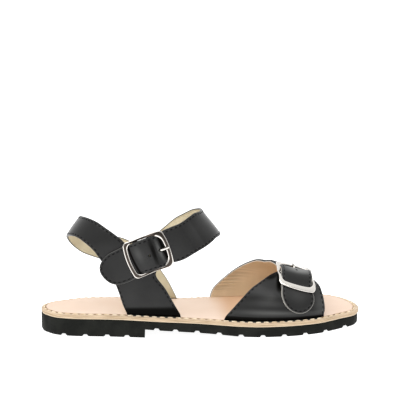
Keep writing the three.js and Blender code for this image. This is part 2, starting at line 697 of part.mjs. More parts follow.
const finishes = {
  rubber: { color: 0x222222, roughness: 0.85, metalness: 0 },
  welt: { color: 0xd0b28c, roughness: 0.7, metalness: 0 },
  insole: { color: 0xf3d6c0, roughness: 0.6, metalness: 0 },
  leather: { color: 0x2c2c2c, roughness: 0.45, metalness: 0 },
  nickel: { color: 0xd0d0cc, roughness: 0.2, metalness: 1 },
};

function mesh(name, body, finish) {
  const made = body.getMesh();
  const geometry = new THREE.BufferGeometry();
  geometry.setAttribute("position", new THREE.BufferAttribute(new Float32Array(made.vertProperties), 3));
  geometry.setIndex(new THREE.BufferAttribute(new Uint32Array(made.triVerts), 1));
  geometry.computeVertexNormals();
  const node = new THREE.Mesh(geometry, new THREE.MeshStandardMaterial(finishes[finish]));
  node.name = name;
  return node;
}

const sandal = new THREE.Group();
sandal.name = "sandal";
sandal.add(mesh("outsole", outsole, "rubber"));
sandal.add(mesh("welt", welt, "welt"));
sandal.add(mesh("insole", insole, "insole"));
sandal.add(mesh("rear_upper", rearUpper, "leather"));
sandal.add(mesh("vamp_lateral", vampLateral, "leather"));
sandal.add(mesh("vamp_medial", vampMedial, "leather"));
sandal.add(mesh("ankle_buckle_frame", ankleBuckle.frame, "nickel"));
sandal.add(mesh("ankle_buckle_prong", ankleBuckle.prong, "nickel"));
sandal.add(mesh("vamp_buckle_frame", vampBuckle.frame, "nickel"));
sandal.add(mesh("vamp_buckle_prong", vampBuckle.prong, "nickel"));
export default sandal;
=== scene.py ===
import math

import bpy
import numpy as np
from mathutils import Matrix, Vector


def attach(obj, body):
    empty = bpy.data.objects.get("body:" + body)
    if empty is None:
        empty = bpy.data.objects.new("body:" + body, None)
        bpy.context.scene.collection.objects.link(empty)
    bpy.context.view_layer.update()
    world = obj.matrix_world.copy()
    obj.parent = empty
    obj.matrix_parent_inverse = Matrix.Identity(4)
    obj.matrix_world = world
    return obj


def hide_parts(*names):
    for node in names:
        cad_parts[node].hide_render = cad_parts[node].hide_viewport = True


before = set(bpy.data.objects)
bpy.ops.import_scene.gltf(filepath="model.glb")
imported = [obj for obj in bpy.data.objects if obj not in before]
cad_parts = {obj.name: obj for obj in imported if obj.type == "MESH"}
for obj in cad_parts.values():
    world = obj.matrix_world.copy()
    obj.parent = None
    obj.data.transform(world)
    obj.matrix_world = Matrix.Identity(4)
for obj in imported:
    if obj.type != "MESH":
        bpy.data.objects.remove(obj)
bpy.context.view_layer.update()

MM = 0.001

# Sizes of the shoe, in millimetres, as in the solids.
SOLE_LENGTH = 256.0
BALL_WIDTH = 92.0
HEEL_RUBBER = 13.8
FORE_RUBBER = 7.9
WAIST_RISE = 6.6
WELT_THICKNESS = 3.2
WELT_LEDGE = 3.0
INSOLE_THICKNESS = 1.6
INSOLE_PROUD = 0.6
INSTEP_HEIGHT = 54.0
ANKLE_HEIGHT = 96.0
LEATHER = 1.9
CLEARANCE = 0.3
LUG_PITCH = 17.1
LUG_DEPTH = 1.6
LUG_MOUTH = 5.0
LUG_ROOT = 2.4
BUCKLE_LENGTH = 31.4
BUCKLE_WIDTH = 29.8
BUCKLE_BAND = 2.0
END_BAND = 3.2
BUCKLE_THICKNESS = 1.7
BUCKLE_CORNER = 2.4
BAR_THICKNESS = 1.6
BAR_WIDTH = 2.4
PRONG_WIDTH = 1.9
PRONG_THICKNESS = 1.0
PRONG_OVERHANG = 1.2
CHAPE_WALL = 1.0
CHAPE_FOOT = 2.0
CHAPE_GAP = 1.6
STITCH_SINK = 0.4
STRAP_TIP = 12.0
HUMP_END = 2.5
HUMP_CREST = 5.5
FLAT_SAG = 0.3
HOLE_SIZE = 3.2
HEEL_CENTRE = 0.117 * SOLE_LENGTH

# Shares of the sole's length and of the ankle's height, and exponents of the forms, as in the solids.
HEEL_BREAST = 0.3166
BREAST_SLOPE = 0.0005
FEATHER_SHARE = 0.17
FEATHER_BLEND = 0.34
ANKLE_FULLNESS = 2.5
VAMP_FULLNESS = 2.6

# Sizes in millimetres that depart from the solids.
BUCKLE_BOW = 1.6
CHAPE_REACH = 8.5
CHAPE_INSET = 1.15
STRAP_PLAY = 0.1
NECK_LENGTH = 2.0
HOLE_FROM_END = 7.6
HOLE_RADIUS = 0.95
OUTER_CORNER = 2.6
INNER_CORNERS = (7.5, 3.6)

# Sizes in millimetres that only this model has; a stitch is its length, width and height.
LINING = 0.5
LINING_DRAW = 0.45
LINING_ROUND = 0.15
LINING_EASE = 0.1
EDGE_ROUND = 0.6
EDGE_EASE = 0.25
LEDGE_MORE = 1.2
FLANGE_REACH = 1.3
FLANGE_TUCK = 0.6
FLANGE_END = 2.5
SEAT_REACH = 1.2
SEAT_SINK = 0.25
HOLE_LOW = 1.0
HOLE_HIGH = 12.0
SPARE_HOLE = -0.8
STITCH_INSET = 1.9
SEAM_STEP = 1.2
FINE_PITCH = 3.9
FINE_STITCH = (2.5, 0.85, 0.5)
WELT_STITCH_INSET = 2.3
WELT_PITCH = 6.2
WELT_STITCH = (4.9, 1.45, 1.3)
FAR_INSIDE = 40.0

# Step for the slopes of a form, in degrees or millimetres, and rounds of Newton's method on it.
STEP = 0.2
SOLVE_ROUNDS = 12

# How square the sections of a frame, of a centre bar and of a prong are, and their counts of sides.
FRAME_SQUARE = 3.6
BAR_SQUARE = 3.2
PRONG_SQUARE = 2.6
FRAME_SIDES = 28
BAR_SIDES = 16


def table(names, rows):
    """Rows of numbers as named columns."""
    return dict(zip(names.split(), np.array(rows, float).T))


OUTLINE = table(
    "x lateral medial",
    [
        (0, -0.011, 0.011),
        (0.006, 0.085, 0.085),
        (0.0195, 0.154, 0.144),
        (0.039, 0.221, 0.195),
        (0.078, 0.279, 0.244),
        (0.117, 0.308, 0.286),
        (0.156, 0.326, 0.308),
        (0.2, 0.344, 0.306),
        (0.26, 0.379, 0.298),
        (0.3166, 0.411, 0.287),
        (0.37, 0.432, 0.281),
        (0.43, 0.44, 0.291),
        (0.48, 0.441, 0.33),
        (0.53, 0.454, 0.39),
        (0.59, 0.479, 0.446),
        (0.65, 0.495, 0.481),
        (0.7, 0.5, 0.496),
        (0.75, 0.493, 0.501),
        (0.8, 0.468, 0.499),
        (0.86, 0.412, 0.483),
        (0.9, 0.34, 0.458),
        (0.93, 0.279, 0.414),
        (0.957, 0.231, 0.341),
        (0.976, 0.186, 0.255),
        (0.988, 0.13, 0.183),
        (0.996, 0.07, 0.108),
        (1, -0.005, 0.014),
    ],
)
PROFILE = table(
    "x top under",
    [
        (0, 1, 0),
        (0.25, 0.97, 0),
        (HEEL_BREAST - BREAST_SLOPE, 0.89, 0),
        (HEEL_BREAST + BREAST_SLOPE, 0.89, 1),
        (0.42, 0.66, 0.72),
        (0.53, 0.3, 0.36),
        (0.61, 0.08, 0.08),
        (0.66, 0, 0),
        (1, 0, 0),
    ],
)
ANKLE_FORM = table(
    "z rear front lateral medial",
    [
        (FEATHER_SHARE, 0.055, 0.66, 0.385, 0.317),
        (0.45, 0.062, 0.62, 0.385, 0.317),
        (0.62, 0.07, 0.588, 0.38, 0.346),
        (0.78, 0.091, 0.553, 0.375, 0.356),
        (0.93, 0.132, 0.51, 0.361, 0.356),
        (1.05, 0.17, 0.478, 0.346, 0.346),
    ],
)
VAMP_FORM = table(
    "x crest",
    [
        (0.5, 1.0),
        (0.59, 1.0),
        (0.65, 0.955),
        (0.703, 0.88),
        (0.742, 0.822),
        (0.793, 0.752),
        (0.844, 0.695),
        (0.9, 0.62),
    ],
)


def smooth(t):
    c = np.clip(t, 0, 1)
    return c * c * (3 - 2 * c)


def column(rows, key, name, at, curved=True):
    """One column at a station, straight or curved between the rows."""
    at = np.asarray(at, float)
    k = rows[key]
    v = rows[name]
    if not curved:
        return np.interp(at, k, v)
    last = len(k) - 1
    i = np.clip(np.searchsorted(k, at, "right") - 1, 0, last - 1)
    span = k[i + 1] - k[i]
    t = np.clip((at - k[i]) / span, 0, 1)
    before = np.maximum(i - 1, 0)
    after = np.minimum(i + 2, last)
    m0 = (v[i + 1] - v[before]) / (k[i + 1] - k[before]) * span
    m1 = (v[after] - v[i]) / (k[after] - k[i]) * span
    t2 = t * t
    t3 = t2 * t
    start = (2 * t3 - 3 * t2 + 1) * v[i] + (t3 - 2 * t2 + t) * m0
    return start + (3 * t2 - 2 * t3) * v[i + 1] + (t3 - t2) * m1


def outline(side, x):
    return column(OUTLINE, "x", side, np.asarray(x) / SOLE_LENGTH) * BALL_WIDTH


edge_cache = {}


def edge_curve(side, inset):
    """Edge of the sole drawn in by an inset measured square to it."""
    if (side, inset) not in edge_cache:
        x = (1 - np.cos(np.pi * np.arange(401) / 400)) / 2 * SOLE_LENGTH
        y = outline(side, x)
        dx = np.gradient(x)
        dy = np.gradient(y)
        length = np.hypot(dx, dy)
        px = x + inset * dy / length
        py = y - inset * dx / length
        keep = np.concatenate([[True], np.diff(px) > 0])
        edge_cache[side, inset] = (px[keep], py[keep])
    return edge_cache[side, inset]


def half_width(side, x, inset):
    return np.interp(x, *edge_curve(side, inset))


def profile(name, x):
    return column(PROFILE, "x", name, np.asarray(x) / SOLE_LENGTH, False)


def rubber_top(x):
    return FORE_RUBBER + (HEEL_RUBBER - FORE_RUBBER) * profile("top", x)


def rubber_under(x):
    return WAIST_RISE * profile("under", x)


def welt_under(x):
    return rubber_top(x) + CLEARANCE


def welt_top(x):
    return welt_under(x) + WELT_THICKNESS


def insole_top(x):
    return welt_top(x) + INSOLE_PROUD


FEATHER_INSET = WELT_LEDGE + CLEARANCE + LEATHER


def power(value, exponent):
    return np.sign(value) * np.abs(value) ** exponent


def ankle_point(turn, level):
    """Turn 0 at the heel, 90 lateral, 180 in front, -90 medial; level in millimetres."""
    turn, level = floats(turn, level)
    z = level / ANKLE_HEIGHT
    rear = column(ANKLE_FORM, "z", "rear", z) * SOLE_LENGTH
    front = column(ANKLE_FORM, "z", "front", z) * SOLE_LENGTH
    s = np.sin(np.radians(turn))
    c = np.cos(np.radians(turn))
    x = (rear + front) / 2 - (front - rear) / 2 * power(c, 2 / ANKLE_FULLNESS)
    y = np.zeros_like(x)
    blend = smooth((z - FEATHER_SHARE) / FEATHER_BLEND)
    for side, sign, mask in (("lateral", -1, s > 0), ("medial", 1, s <= 0)):
        free = column(ANKLE_FORM, "z", side, z) * BALL_WIDTH * np.abs(s) ** (2 / ANKLE_FULLNESS)
        rim = half_width(side, x, FEATHER_INSET)
        y = np.where(mask, sign * (rim + (free - rim) * blend), y)
    return np.stack([x, y, level], -1)


def vamp_point(turn, x):
    """Turn 0 at the lateral edge, 180 at the medial edge; x in millimetres."""
    turn, x = floats(turn, x)
    floor = insole_top(x) + CLEARANCE
    crest = column(VAMP_FORM, "x", "crest", x / SOLE_LENGTH) * INSTEP_HEIGHT
    lateral = half_width("lateral", x, FEATHER_INSET)
    medial = half_width("medial", x, FEATHER_INSET)
    s = np.sin(np.radians(turn))
    c = np.cos(np.radians(turn))
    y = (medial - lateral) / 2 - (medial + lateral) / 2 * power(c, 2 / VAMP_FULLNESS)
    z = floor + (crest - floor) * power(s, 2 / VAMP_FULLNESS)
    return np.stack([x, y, z], -1)


def ankle_hub(p):
    return np.broadcast_to(np.array([0.32 * SOLE_LENGTH, 0, 60.0]), p.shape)


def vamp_hub(p):
    return np.stack([p[..., 0] - 15, np.zeros(p.shape[:-1]), np.full(p.shape[:-1], 5.0)], -1)


def floats(*values):
    """Numbers and arrays as float arrays of one shape."""
    return np.broadcast_arrays(*(np.asarray(v, float) for v in values))


def ring_shares(sides, square):
    """A rounded square ring from -1 to 1 both ways; the higher the square, the sharper its corners."""
    turn = (np.arange(sides) + 0.5) * 2 * np.pi / sides
    return power(np.cos(turn), 2 / square), power(np.sin(turn), 2 / square)


def unit(v):
    return v / np.maximum(np.linalg.norm(v, axis=-1, keepdims=True), 1e-12)


class Form:
    """A surface that bands lie on, with a hub that its normals point away from."""

    def __init__(self, point, hub):
        self.point = point
        self.hub = hub

    def normal(self, a, b):
        p = self.point(a, b)
        da = self.point(a + STEP, b) - self.point(a - STEP, b)
        db = self.point(a, b + STEP) - self.point(a, b - STEP)
        n = unit(np.cross(da, db))
        flip = np.sum(n * (p - self.hub(p)), -1, keepdims=True) < 0
        return np.where(flip, -n, n)


ankle = Form(ankle_point, ankle_hub)
vamp = Form(vamp_point, vamp_hub)

BAR_HEIGHT = LEATHER + CLEARANCE + BAR_THICKNESS / 2
CHAPE_UNDER = BAR_HEIGHT + BAR_THICKNESS / 2 + CLEARANCE
HUMP_RISE = CHAPE_UNDER + CHAPE_WALL - LEATHER + FLAT_SAG
FRAME_HEIGHT = 2 * LEATHER + 2 * CLEARANCE + BUCKLE_THICKNESS / 2
LIFTS = {"form": 0.0, "stitched": LEATHER - STITCH_SINK, "leather": LEATHER + CLEARANCE}


class Band:
    """A strap or panel laid on a form, from rows of two edges each."""

    def __init__(self, form, rows, tip=0.0, buckle=None, seated=()):
        self.form = form
        a1, b1, a2, b2 = (np.array([r[i] for r in rows], float) for i in range(4))
        lift = np.array([LIFTS[r[4]] for r in rows])
        middle = form.point((a1 + a2) / 2, (b1 + b2) / 2)
        run = np.concatenate([[0], np.cumsum(np.linalg.norm(np.diff(middle, axis=0), axis=1))])
        self.rows = {"run": run, "a1": a1, "b1": b1, "a2": a2, "b2": b2, "lift": lift}
        self.length = run[-1]
        self.tip = tip
        self.buckle = None if buckle is None else run[buckle]
        self.seated = seated
        self.creases = []
        # Painted shade and painted highlights laid on the band's colour.
        self.painted_shading = []

    def pick(self, name, at, curved=True):
        return column(self.rows, "run", name, at, curved)

    def rise(self, at):
        if self.buckle is None:
            return np.zeros_like(at)
        off = np.abs(at - self.buckle)
        return HUMP_RISE * smooth((BUCKLE_LENGTH / 2 - HUMP_END - off) / (BUCKLE_LENGTH / 2 - HUMP_CREST))

    def width(self, at):
        e1 = self.form.point(self.pick("a1", at), self.pick("b1", at))
        e2 = self.form.point(self.pick("a2", at), self.pick("b2", at))
        return np.linalg.norm(e1 - e2, axis=-1)

    def keep(self, at, inset=0.0):
        """Share of the full width that the leather keeps at a station."""
        share = np.ones_like(at)
        width = self.width(at)
        if self.tip > 0:
            radius = self.tip - inset
            into = np.maximum(0, at - (self.length - self.tip))
            share = np.sqrt(np.maximum(0, 1 - (into / radius) ** 2))
            if self.buckle is not None:
                off = np.abs(at - self.buckle)
                most = np.minimum(1, (BUCKLE_WIDTH - 2 * BUCKLE_BAND - 2 * STRAP_PLAY) / width)
                neck = smooth((BUCKLE_LENGTH / 2 + NECK_LENGTH - off) / 4)
                share = share * (1 + (most - 1) * neck)
        return share * (1 - 2 * inset / width)

    def brink(self, at, across):
        """Distance from the cut edge, by the station and the distance from the middle line."""
        half = self.keep(np.minimum(at, self.length - self.tip)) * self.width(at) / 2
        gap = half - np.abs(across)
        if self.tip > 0:
            into = np.maximum(0, at - (self.length - self.tip)) / self.tip
            round_gap = self.tip * (1 - np.sqrt(into**2 + (across / half) ** 2))
            gap = np.where(into > 0, round_gap, gap)
        return np.maximum(gap, 0)

    def shade(self, at, share):
        """How much painted shade a place gets, up to 1, or painted light, down to -1."""
        dark = np.zeros(np.broadcast(at, share).shape)
        light = dark.copy()
        for at0, share0, along, across, most in self.painted_shading:
            centre = np.interp(at, *share0) if isinstance(share0, tuple) else share0
            middle = np.interp(share, *at0) if isinstance(at0, tuple) else at0
            fade = ((at - middle) / along) ** (4 if most > 0 else 2) + ((share - centre) / across) ** 2
            here = abs(most) * np.exp(-fade)
            if most > 0:
                dark = np.maximum(dark, here)
            else:
                light = np.maximum(light, here)
        return dark - light * (1 - dark)

    def place(self, at, share, height):
        """Points and normals at stations along, shares across and heights over the inner face."""
        at, share, height = floats(at, share, height)
        a1, b1 = self.pick("a1", at), self.pick("b1", at)
        a2, b2 = self.pick("a2", at), self.pick("b2", at)
        a = a1 + (a2 - a1) * share
        b = b1 + (b2 - b1) * share
        n = self.form.normal(a, b)
        h = self.pick("lift", at, False) + self.rise(at) + height
        for at0, share0, along, across, depth in self.creases:
            h = h + depth * np.exp(-(((at - at0) / along) ** 2) - ((share - share0) / across) ** 2)
        p = self.form.point(a, b) + n * h[..., None]
        for end in self.seated:
            near = smooth(1 - np.abs(at - end * self.length) / SEAT_REACH)
            seat = insole_top(p[..., 0]) - SEAT_SINK
            p[..., 2] = p[..., 2] + (seat - p[..., 2]) * near
        return p, n


# Bands on the ankle: turn and share of the height at one edge, the same at the other, and the lift.
QUARTERS = [
    (99.5, 0.18, 77, 0.19),
    (97.4, 0.271, 75.2, 0.26),
    (94.7, 0.403, 73.2, 0.38),
    (91.8, 0.52, 70.6, 0.485),
    (94, 0.6, 68.3, 0.53),
    (97, 0.7, 67, 0.57),
    (96, 0.785, 64.5, 0.612),
    (87, 0.78, 61.5, 0.65),
    (80, 0.785, 58, 0.69),
    (74.6, 0.831, 54.5, 0.722),
    (62, 0.895, 46.1, 0.767),
    (44, 0.947, 33, 0.802),
    (24, 0.96, 20, 0.808),
    (3, 0.945, 3, 0.785),
    (-17, 0.905, -17, 0.725),
    (-34, 0.835, -33, 0.648),
    (-50, 0.765, -45.5, 0.582),
    (-66, 0.713, -56.5, 0.537),
    (-80, 0.676, -65, 0.5),
    (-88.5, 0.595, -70.5, 0.44),
    (-93, 0.455, -74, 0.36),
    (-97, 0.32, -76.5, 0.275),
    (-99.7, 0.175, -78.5, 0.19),
]
ANKLE_STRAP = [
    (-83, 0.56, -87, 0.34, "stitched"),
    (-92, 0.652, -95, 0.43, "stitched"),
    (-100.5, 0.742, -103, 0.515, "stitched"),
    (-112.9, 0.834, -113.5, 0.6, "form"),
    (-124.9, 0.882, -126, 0.66, "form"),
    (-141.1, 0.927, -141, 0.705, "form"),
    (-157, 0.951, -157, 0.735, "form"),
    (-180, 0.975, -180, 0.76, "form"),
    (-203, 0.988, -202, 0.771, "form"),
    (-214, 0.989, -213.6, 0.754, "form"),
    (-228.4, 0.966, -225.3, 0.727, "form"),
    (-243, 0.932, -238, 0.695, "leather"),
    (-253.5, 0.908, -250, 0.645, "leather"),
    (-263, 0.874, -258.5, 0.619, "leather"),
    (-272.2, 0.830, -267, 0.572, "leather"),
    (-280, 0.780, -273.6, 0.524, "leather"),
    (-287, 0.738, -281, 0.474, "leather"),
    (-295, 0.695, -290.5, 0.45, "leather"),
    (-299.4, 0.69, -298, 0.465, "leather"),
]
# Bands on the vamp: turn, share of the length at the rear edge and at the front edge, and the lift.
LATERAL_PANEL = [
    (0, 0.5605, 0.869),
    (7.6, 0.5855, 0.8725),
    (14.2, 0.603, 0.873),
    (20.9, 0.619, 0.8715),
    (34.1, 0.6484, 0.869),
    (43.2, 0.6707, 0.867),
    (56, 0.6973, 0.863),
    (68.4, 0.7215, 0.851),
    (74, 0.732, 0.842),
]
MEDIAL_PANEL = [
    (180, 0.5395, 0.871, "form"),
    (173.1, 0.553, 0.874, "form"),
    (161.2, 0.592, 0.872, "form"),
    (143.9, 0.6405, 0.866, "form"),
    (132.4, 0.666, 0.862, "form"),
    (118, 0.687, 0.856, "form"),
    (105, 0.706, 0.849, "form"),
    (97, 0.72, 0.843, "leather"),
    (88, 0.736, 0.835, "leather"),
    (78, 0.7375, 0.8345, "leather"),
    (69.5, 0.7375, 0.8355, "leather"),
    (41, 0.7375, 0.831, "leather"),
    (31, 0.736, 0.835, "leather"),
    (22, 0.738, 0.837, "leather"),
    (13, 0.741, 0.838, "leather"),
    (5.6, 0.745, 0.84, "leather"),
]


def ankle_rows(rows):
    return [
        (a1, b1 * ANKLE_HEIGHT, a2, b2 * ANKLE_HEIGHT, *(lift or ["form"]))
        for a1, b1, a2, b2, *lift in rows
    ]


def vamp_rows(rows):
    return [
        (turn, rear * SOLE_LENGTH, turn, front * SOLE_LENGTH, *(lift or ["form"]))
        for turn, rear, front, *lift in rows
    ]


quarters = Band(ankle, ankle_rows(QUARTERS), seated=(0, 1))
ankle_strap = Band(ankle, ankle_rows(ANKLE_STRAP), tip=STRAP_TIP, buckle=14)
lateral_panel = Band(vamp, vamp_rows(LATERAL_PANEL), seated=(0,))
medial_panel = Band(vamp, vamp_rows(MEDIAL_PANEL), tip=STRAP_TIP, buckle=10, seated=(0,))


def link_new(name, data):
    """An object for the data, linked to the scene."""
    made = bpy.data.objects.new(name, data)
    bpy.context.scene.collection.objects.link(made)
    return made


def evaluated(made):
    """The mesh of an object with its modifiers carried out."""
    bpy.context.view_layer.update()
    graph = bpy.context.evaluated_depsgraph_get()
    return bpy.data.meshes.new_from_object(made.evaluated_get(graph), depsgraph=graph)


def build(name, points, faces, uv=None, extra=None):
    """A mesh object from millimetre points measured from the heel's back; all numbers are kept times MM."""
    pts = (np.asarray(points, float) - [HEEL_CENTRE, 0, 0]) * MM
    mesh = bpy.data.meshes.new(name)
    mesh.from_pydata(pts.tolist(), [], faces)
    if uv is not None:
        layer = mesh.uv_layers.new(name="run")
        loops = np.zeros(len(mesh.loops), int)
        mesh.loops.foreach_get("vertex_index", loops)
        layer.data.foreach_set("uv", (np.asarray(uv) * MM)[loops].ravel())
    for label, values in (extra or {}).items():
        values = np.asarray(values, float) * MM
        if values.ndim == 1:
            mesh.attributes.new(label, "FLOAT", "POINT").data.foreach_set("value", values)
        else:
            mesh.attributes.new(label, "FLOAT_VECTOR", "POINT").data.foreach_set("vector", values.ravel())
    mesh.polygons.foreach_set("use_smooth", [True] * len(mesh.polygons))
    mesh.update()
    return link_new(name, mesh)


def volume(points, faces):
    p = np.asarray(points)
    f = np.asarray(faces)
    total = 0.0
    for k in range(1, f.shape[1] - 1):
        total += np.sum(p[f[:, 0]] * np.cross(p[f[:, k]], p[f[:, k + 1]]))
    return total / 6


def loft(name, rings, closed=False, uv=None, extra=None):
    """Skin through rings of equal length; open ends are capped by strips between paired points."""
    rings = np.asarray(rings, float)
    count, n = rings.shape[:2]
    points = rings.reshape(-1, 3)
    faces = []
    for i in range(count if closed else count - 1):
        a = i * n
        b = ((i + 1) % count) * n
        faces.extend((a + j, a + (j + 1) % n, b + (j + 1) % n, b + j) for j in range(n))
    if not closed:
        end = (count - 1) * n
        for j in range(n // 2 - 1):
            mate = n - 1 - j
            faces.append((j + 1, j, mate, mate - 1))
            faces.append((end + j, end + j + 1, end + mate - 1, end + mate))
    if volume(points, faces) < 0:
        faces = [f[::-1] for f in faces]
    if uv is not None:
        uv = np.asarray(uv).reshape(-1, 2)
    if extra is not None:
        extra = {k: np.asarray(v).reshape(count * n, *np.shape(v)[2:]) for k, v in extra.items()}
    return build(name, points, faces, uv, extra)


def shell(name, band, low, high, edge, cut, draw=0.0, spacing=1.0, across=30):
    """A layer of a band between two heights, its upper edge rounded by edge and its lower eased by cut."""
    tip = band.tip
    body = band.length - tip
    stations = np.linspace(0, body, max(8, int(body / spacing)))
    angles = np.zeros(len(stations))
    if tip > 0:
        extra = np.radians(np.linspace(4, 89, 22))
        stations = np.concatenate([stations, np.full(len(extra), body)])
        angles = np.concatenate([angles, extra])
    lips = []
    for t in np.radians([22, 45, 68, 90]):
        lips.append((edge * (1 - math.sin(t)), high - edge * (1 - math.cos(t))))
    lips += [(0, low + cut), (0.3 * cut, low + 0.3 * cut)]
    even = np.linspace(0, 1, across)
    spread = 0.7 * even + 0.3 * (1 - np.cos(np.pi * even)) / 2
    layers = [(edge, s, high) for s in spread]
    layers += [(inset, 1.0, height) for inset, height in lips]
    layers += [(cut, s, low) for s in spread[::-1]]
    layers += [(inset, 0.0, height) for inset, height in lips[::-1]]
    layers = [(inset + draw, s, height) for inset, s, height in layers]
    rings = np.zeros((len(stations), len(layers), 3))
    uv = np.zeros((len(stations), len(layers), 2))
    brink = np.zeros((len(stations), len(layers)))
    # The dark attribute carries the band's painted shade, and its painted highlights below 0.
    dark = np.zeros((len(stations), len(layers)))
    for k, (inset, s, height) in enumerate(layers):
        at = np.clip(stations + (tip - inset) * np.sin(angles), inset, band.length - inset)
        share = 0.5 + (s - 0.5) * band.keep(at, inset)
        rings[:, k] = band.place(at, share, height)[0]
        uv[:, k, 0] = at
        uv[:, k, 1] = (share - 0.5) * band.width(at)
        brink[:, k] = band.brink(at, uv[:, k, 1])
        dark[:, k] = band.shade(at, share)
    return loft(name, rings, uv=uv, extra={"brink": brink, "dark": dark})


def rim_line(side, x, inset):
    """Point of the sole's edge at a station, moved in by an inset, and its height left open."""
    x = np.asarray(x, float)
    inset = np.broadcast_to(inset, x.shape)
    lo = np.clip(x - 0.05, 0, SOLE_LENGTH)
    hi = np.clip(x + 0.05, 0, SOLE_LENGTH)
    dx = hi - lo
    dy = outline(side, hi) - outline(side, lo)
    length = np.hypot(dx, dy)
    sign = -1 if side == "lateral" else 1
    return x + inset * dy / length, sign * (outline(side, x) - inset * dx / length)


def sole_loft(name, stations, layers, across):
    """A slab of the sole: layers of inset and height, from the lower to the upper edge."""
    stations = np.asarray(stations, float)
    lines = []
    marks = []
    for side, order in (("lateral", layers), ("medial", layers[::-1])):
        for inset, height in order:
            inset = inset(stations) if callable(inset) else np.full(len(stations), float(inset))
            px, py = rim_line(side, stations, inset)
            lines.append(np.stack([px, py, height(stations)], -1))
            marks.append(np.stack([stations, inset, height(stations) - layers[0][1](stations)], -1))
    low_a, low_b = lines[0], lines[-1]
    high_a, high_b = lines[len(layers) - 1], lines[len(layers)]
    inner = np.linspace(0, 1, across + 2)[1:-1]
    top = [high_a + (high_b - high_a) * t for t in inner]
    under = [low_b + (low_a - low_b) * t for t in inner]
    deep = np.full(len(stations), FAR_INSIDE)
    on_top = [np.stack([stations, deep, marks[len(layers) - 1][:, 2]], -1)] * across
    beneath = [np.stack([stations, deep, deep * 0], -1)] * (across // 2)
    ring = under[across // 2 :] + lines[: len(layers)] + top + lines[len(layers) :] + under[: across // 2]
    mark = beneath + marks[: len(layers)] + on_top + marks[len(layers) :] + beneath
    return loft(name, np.stack(ring, 1), extra={"sole": np.stack(mark, 1)})


def bar(name, line, wide_way, wide, thick, square):
    """A bar of rounded flat section along a line of points, its wide side turned one way."""
    last = len(line) - 1
    u, v = ring_shares(BAR_SIDES, square)
    rings = []
    for i, p in enumerate(line):
        tangent = unit(line[min(i + 1, last)] - line[max(i - 1, 0)])
        side = unit(wide_way - tangent * np.dot(wide_way, tangent))
        up = np.cross(side, tangent)
        half = 0.225 if i in (0, last) else 0.5
        rings.append(p + np.outer(u * wide * half, side) + np.outer(v * thick * half, up))
    return loft(name, rings, extra={"across": np.tile(u, (len(line), 1))})


class Place:
    """The frame of reference of a buckle on its band."""

    def __init__(self, band):
        rows = band.rows
        self.at = band.buckle
        self.form = band.form

        def centre(run):
            a = (column(rows, "run", "a1", run) + column(rows, "run", "a2", run)) / 2
            b = (column(rows, "run", "b1", run) + column(rows, "run", "b2", run)) / 2
            return float(a), float(b)

        self.c = centre(self.at)
        self.origin = self.form.point(*self.c)
        normal = self.form.normal(*self.c)
        ahead = self.form.point(*centre(self.at + 0.4 * BUCKLE_LENGTH))
        behind = self.form.point(*centre(self.at - 0.4 * BUCKLE_LENGTH))
        forward = ahead - behind
        self.forward = unit(forward - normal * np.dot(forward, normal))
        self.sideways = unit(np.cross(normal, self.forward))

    def full(self, s, w, h):
        """Points and normals at distances along and across the band and heights over its form."""
        s, w, h = floats(s, w, h)
        aim = self.origin + s[..., None] * self.forward + w[..., None] * self.sideways
        a = np.full(s.shape, self.c[0])
        b = np.full(s.shape, self.c[1])
        for _ in range(SOLVE_ROUNDS):
            p = self.form.point(a, b)
            pa = (self.form.point(a + STEP, b) - p) / STEP
            pb = (self.form.point(a, b + STEP) - p) / STEP
            miss = aim - p
            m = (pa @ self.forward, pb @ self.forward, pa @ self.sideways, pb @ self.sideways)
            r = (miss @ self.forward, miss @ self.sideways)
            det = m[0] * m[3] - m[1] * m[2]
            a = a + (r[0] * m[3] - m[1] * r[1]) / det
            b = b + (m[0] * r[1] - r[0] * m[2]) / det
        n = self.form.normal(a, b)
        return self.form.point(a, b) + n * h[..., None], n

    def point(self, s, w, h):
        return self.full(s, w, h)[0]


HALF_LENGTH = (BUCKLE_LENGTH - END_BAND) / 2
HALF_BREADTH = (BUCKLE_WIDTH - BUCKLE_BAND) / 2
FRAME_END = HALF_LENGTH + BUCKLE_BOW
CURL_S = BAR_WIDTH / 2 + CLEARANCE + PRONG_THICKNESS / 2
CURL_H = BAR_THICKNESS / 2 + CLEARANCE + PRONG_THICKNESS / 2


def rounded(half_s, half_w, radii):
    """Rectangle with a corner radius for each end; the same count of points whatever its size."""
    arcs = []
    for cs, cw, start in ((1, 1, 0), (-1, 1, 90), (-1, -1, 180), (1, -1, 270)):
        radius = radii[0] if cs < 0 else radii[1]
        turn = np.radians(start + np.linspace(0, 90, 9))
        s = cs * (half_s - radius) + radius * np.cos(turn)
        w = cw * (half_w - radius) + radius * np.sin(turn)
        arcs.append(np.stack([s, w], -1))
    points = []
    for i, arc in enumerate(arcs):
        following = arcs[(i + 1) % 4][0]
        points.append(arc)
        share = np.linspace(0, 1, 15)[1:-1, None]
        points.append(arc[-1] + (following - arc[-1]) * share)
    return np.concatenate(points)


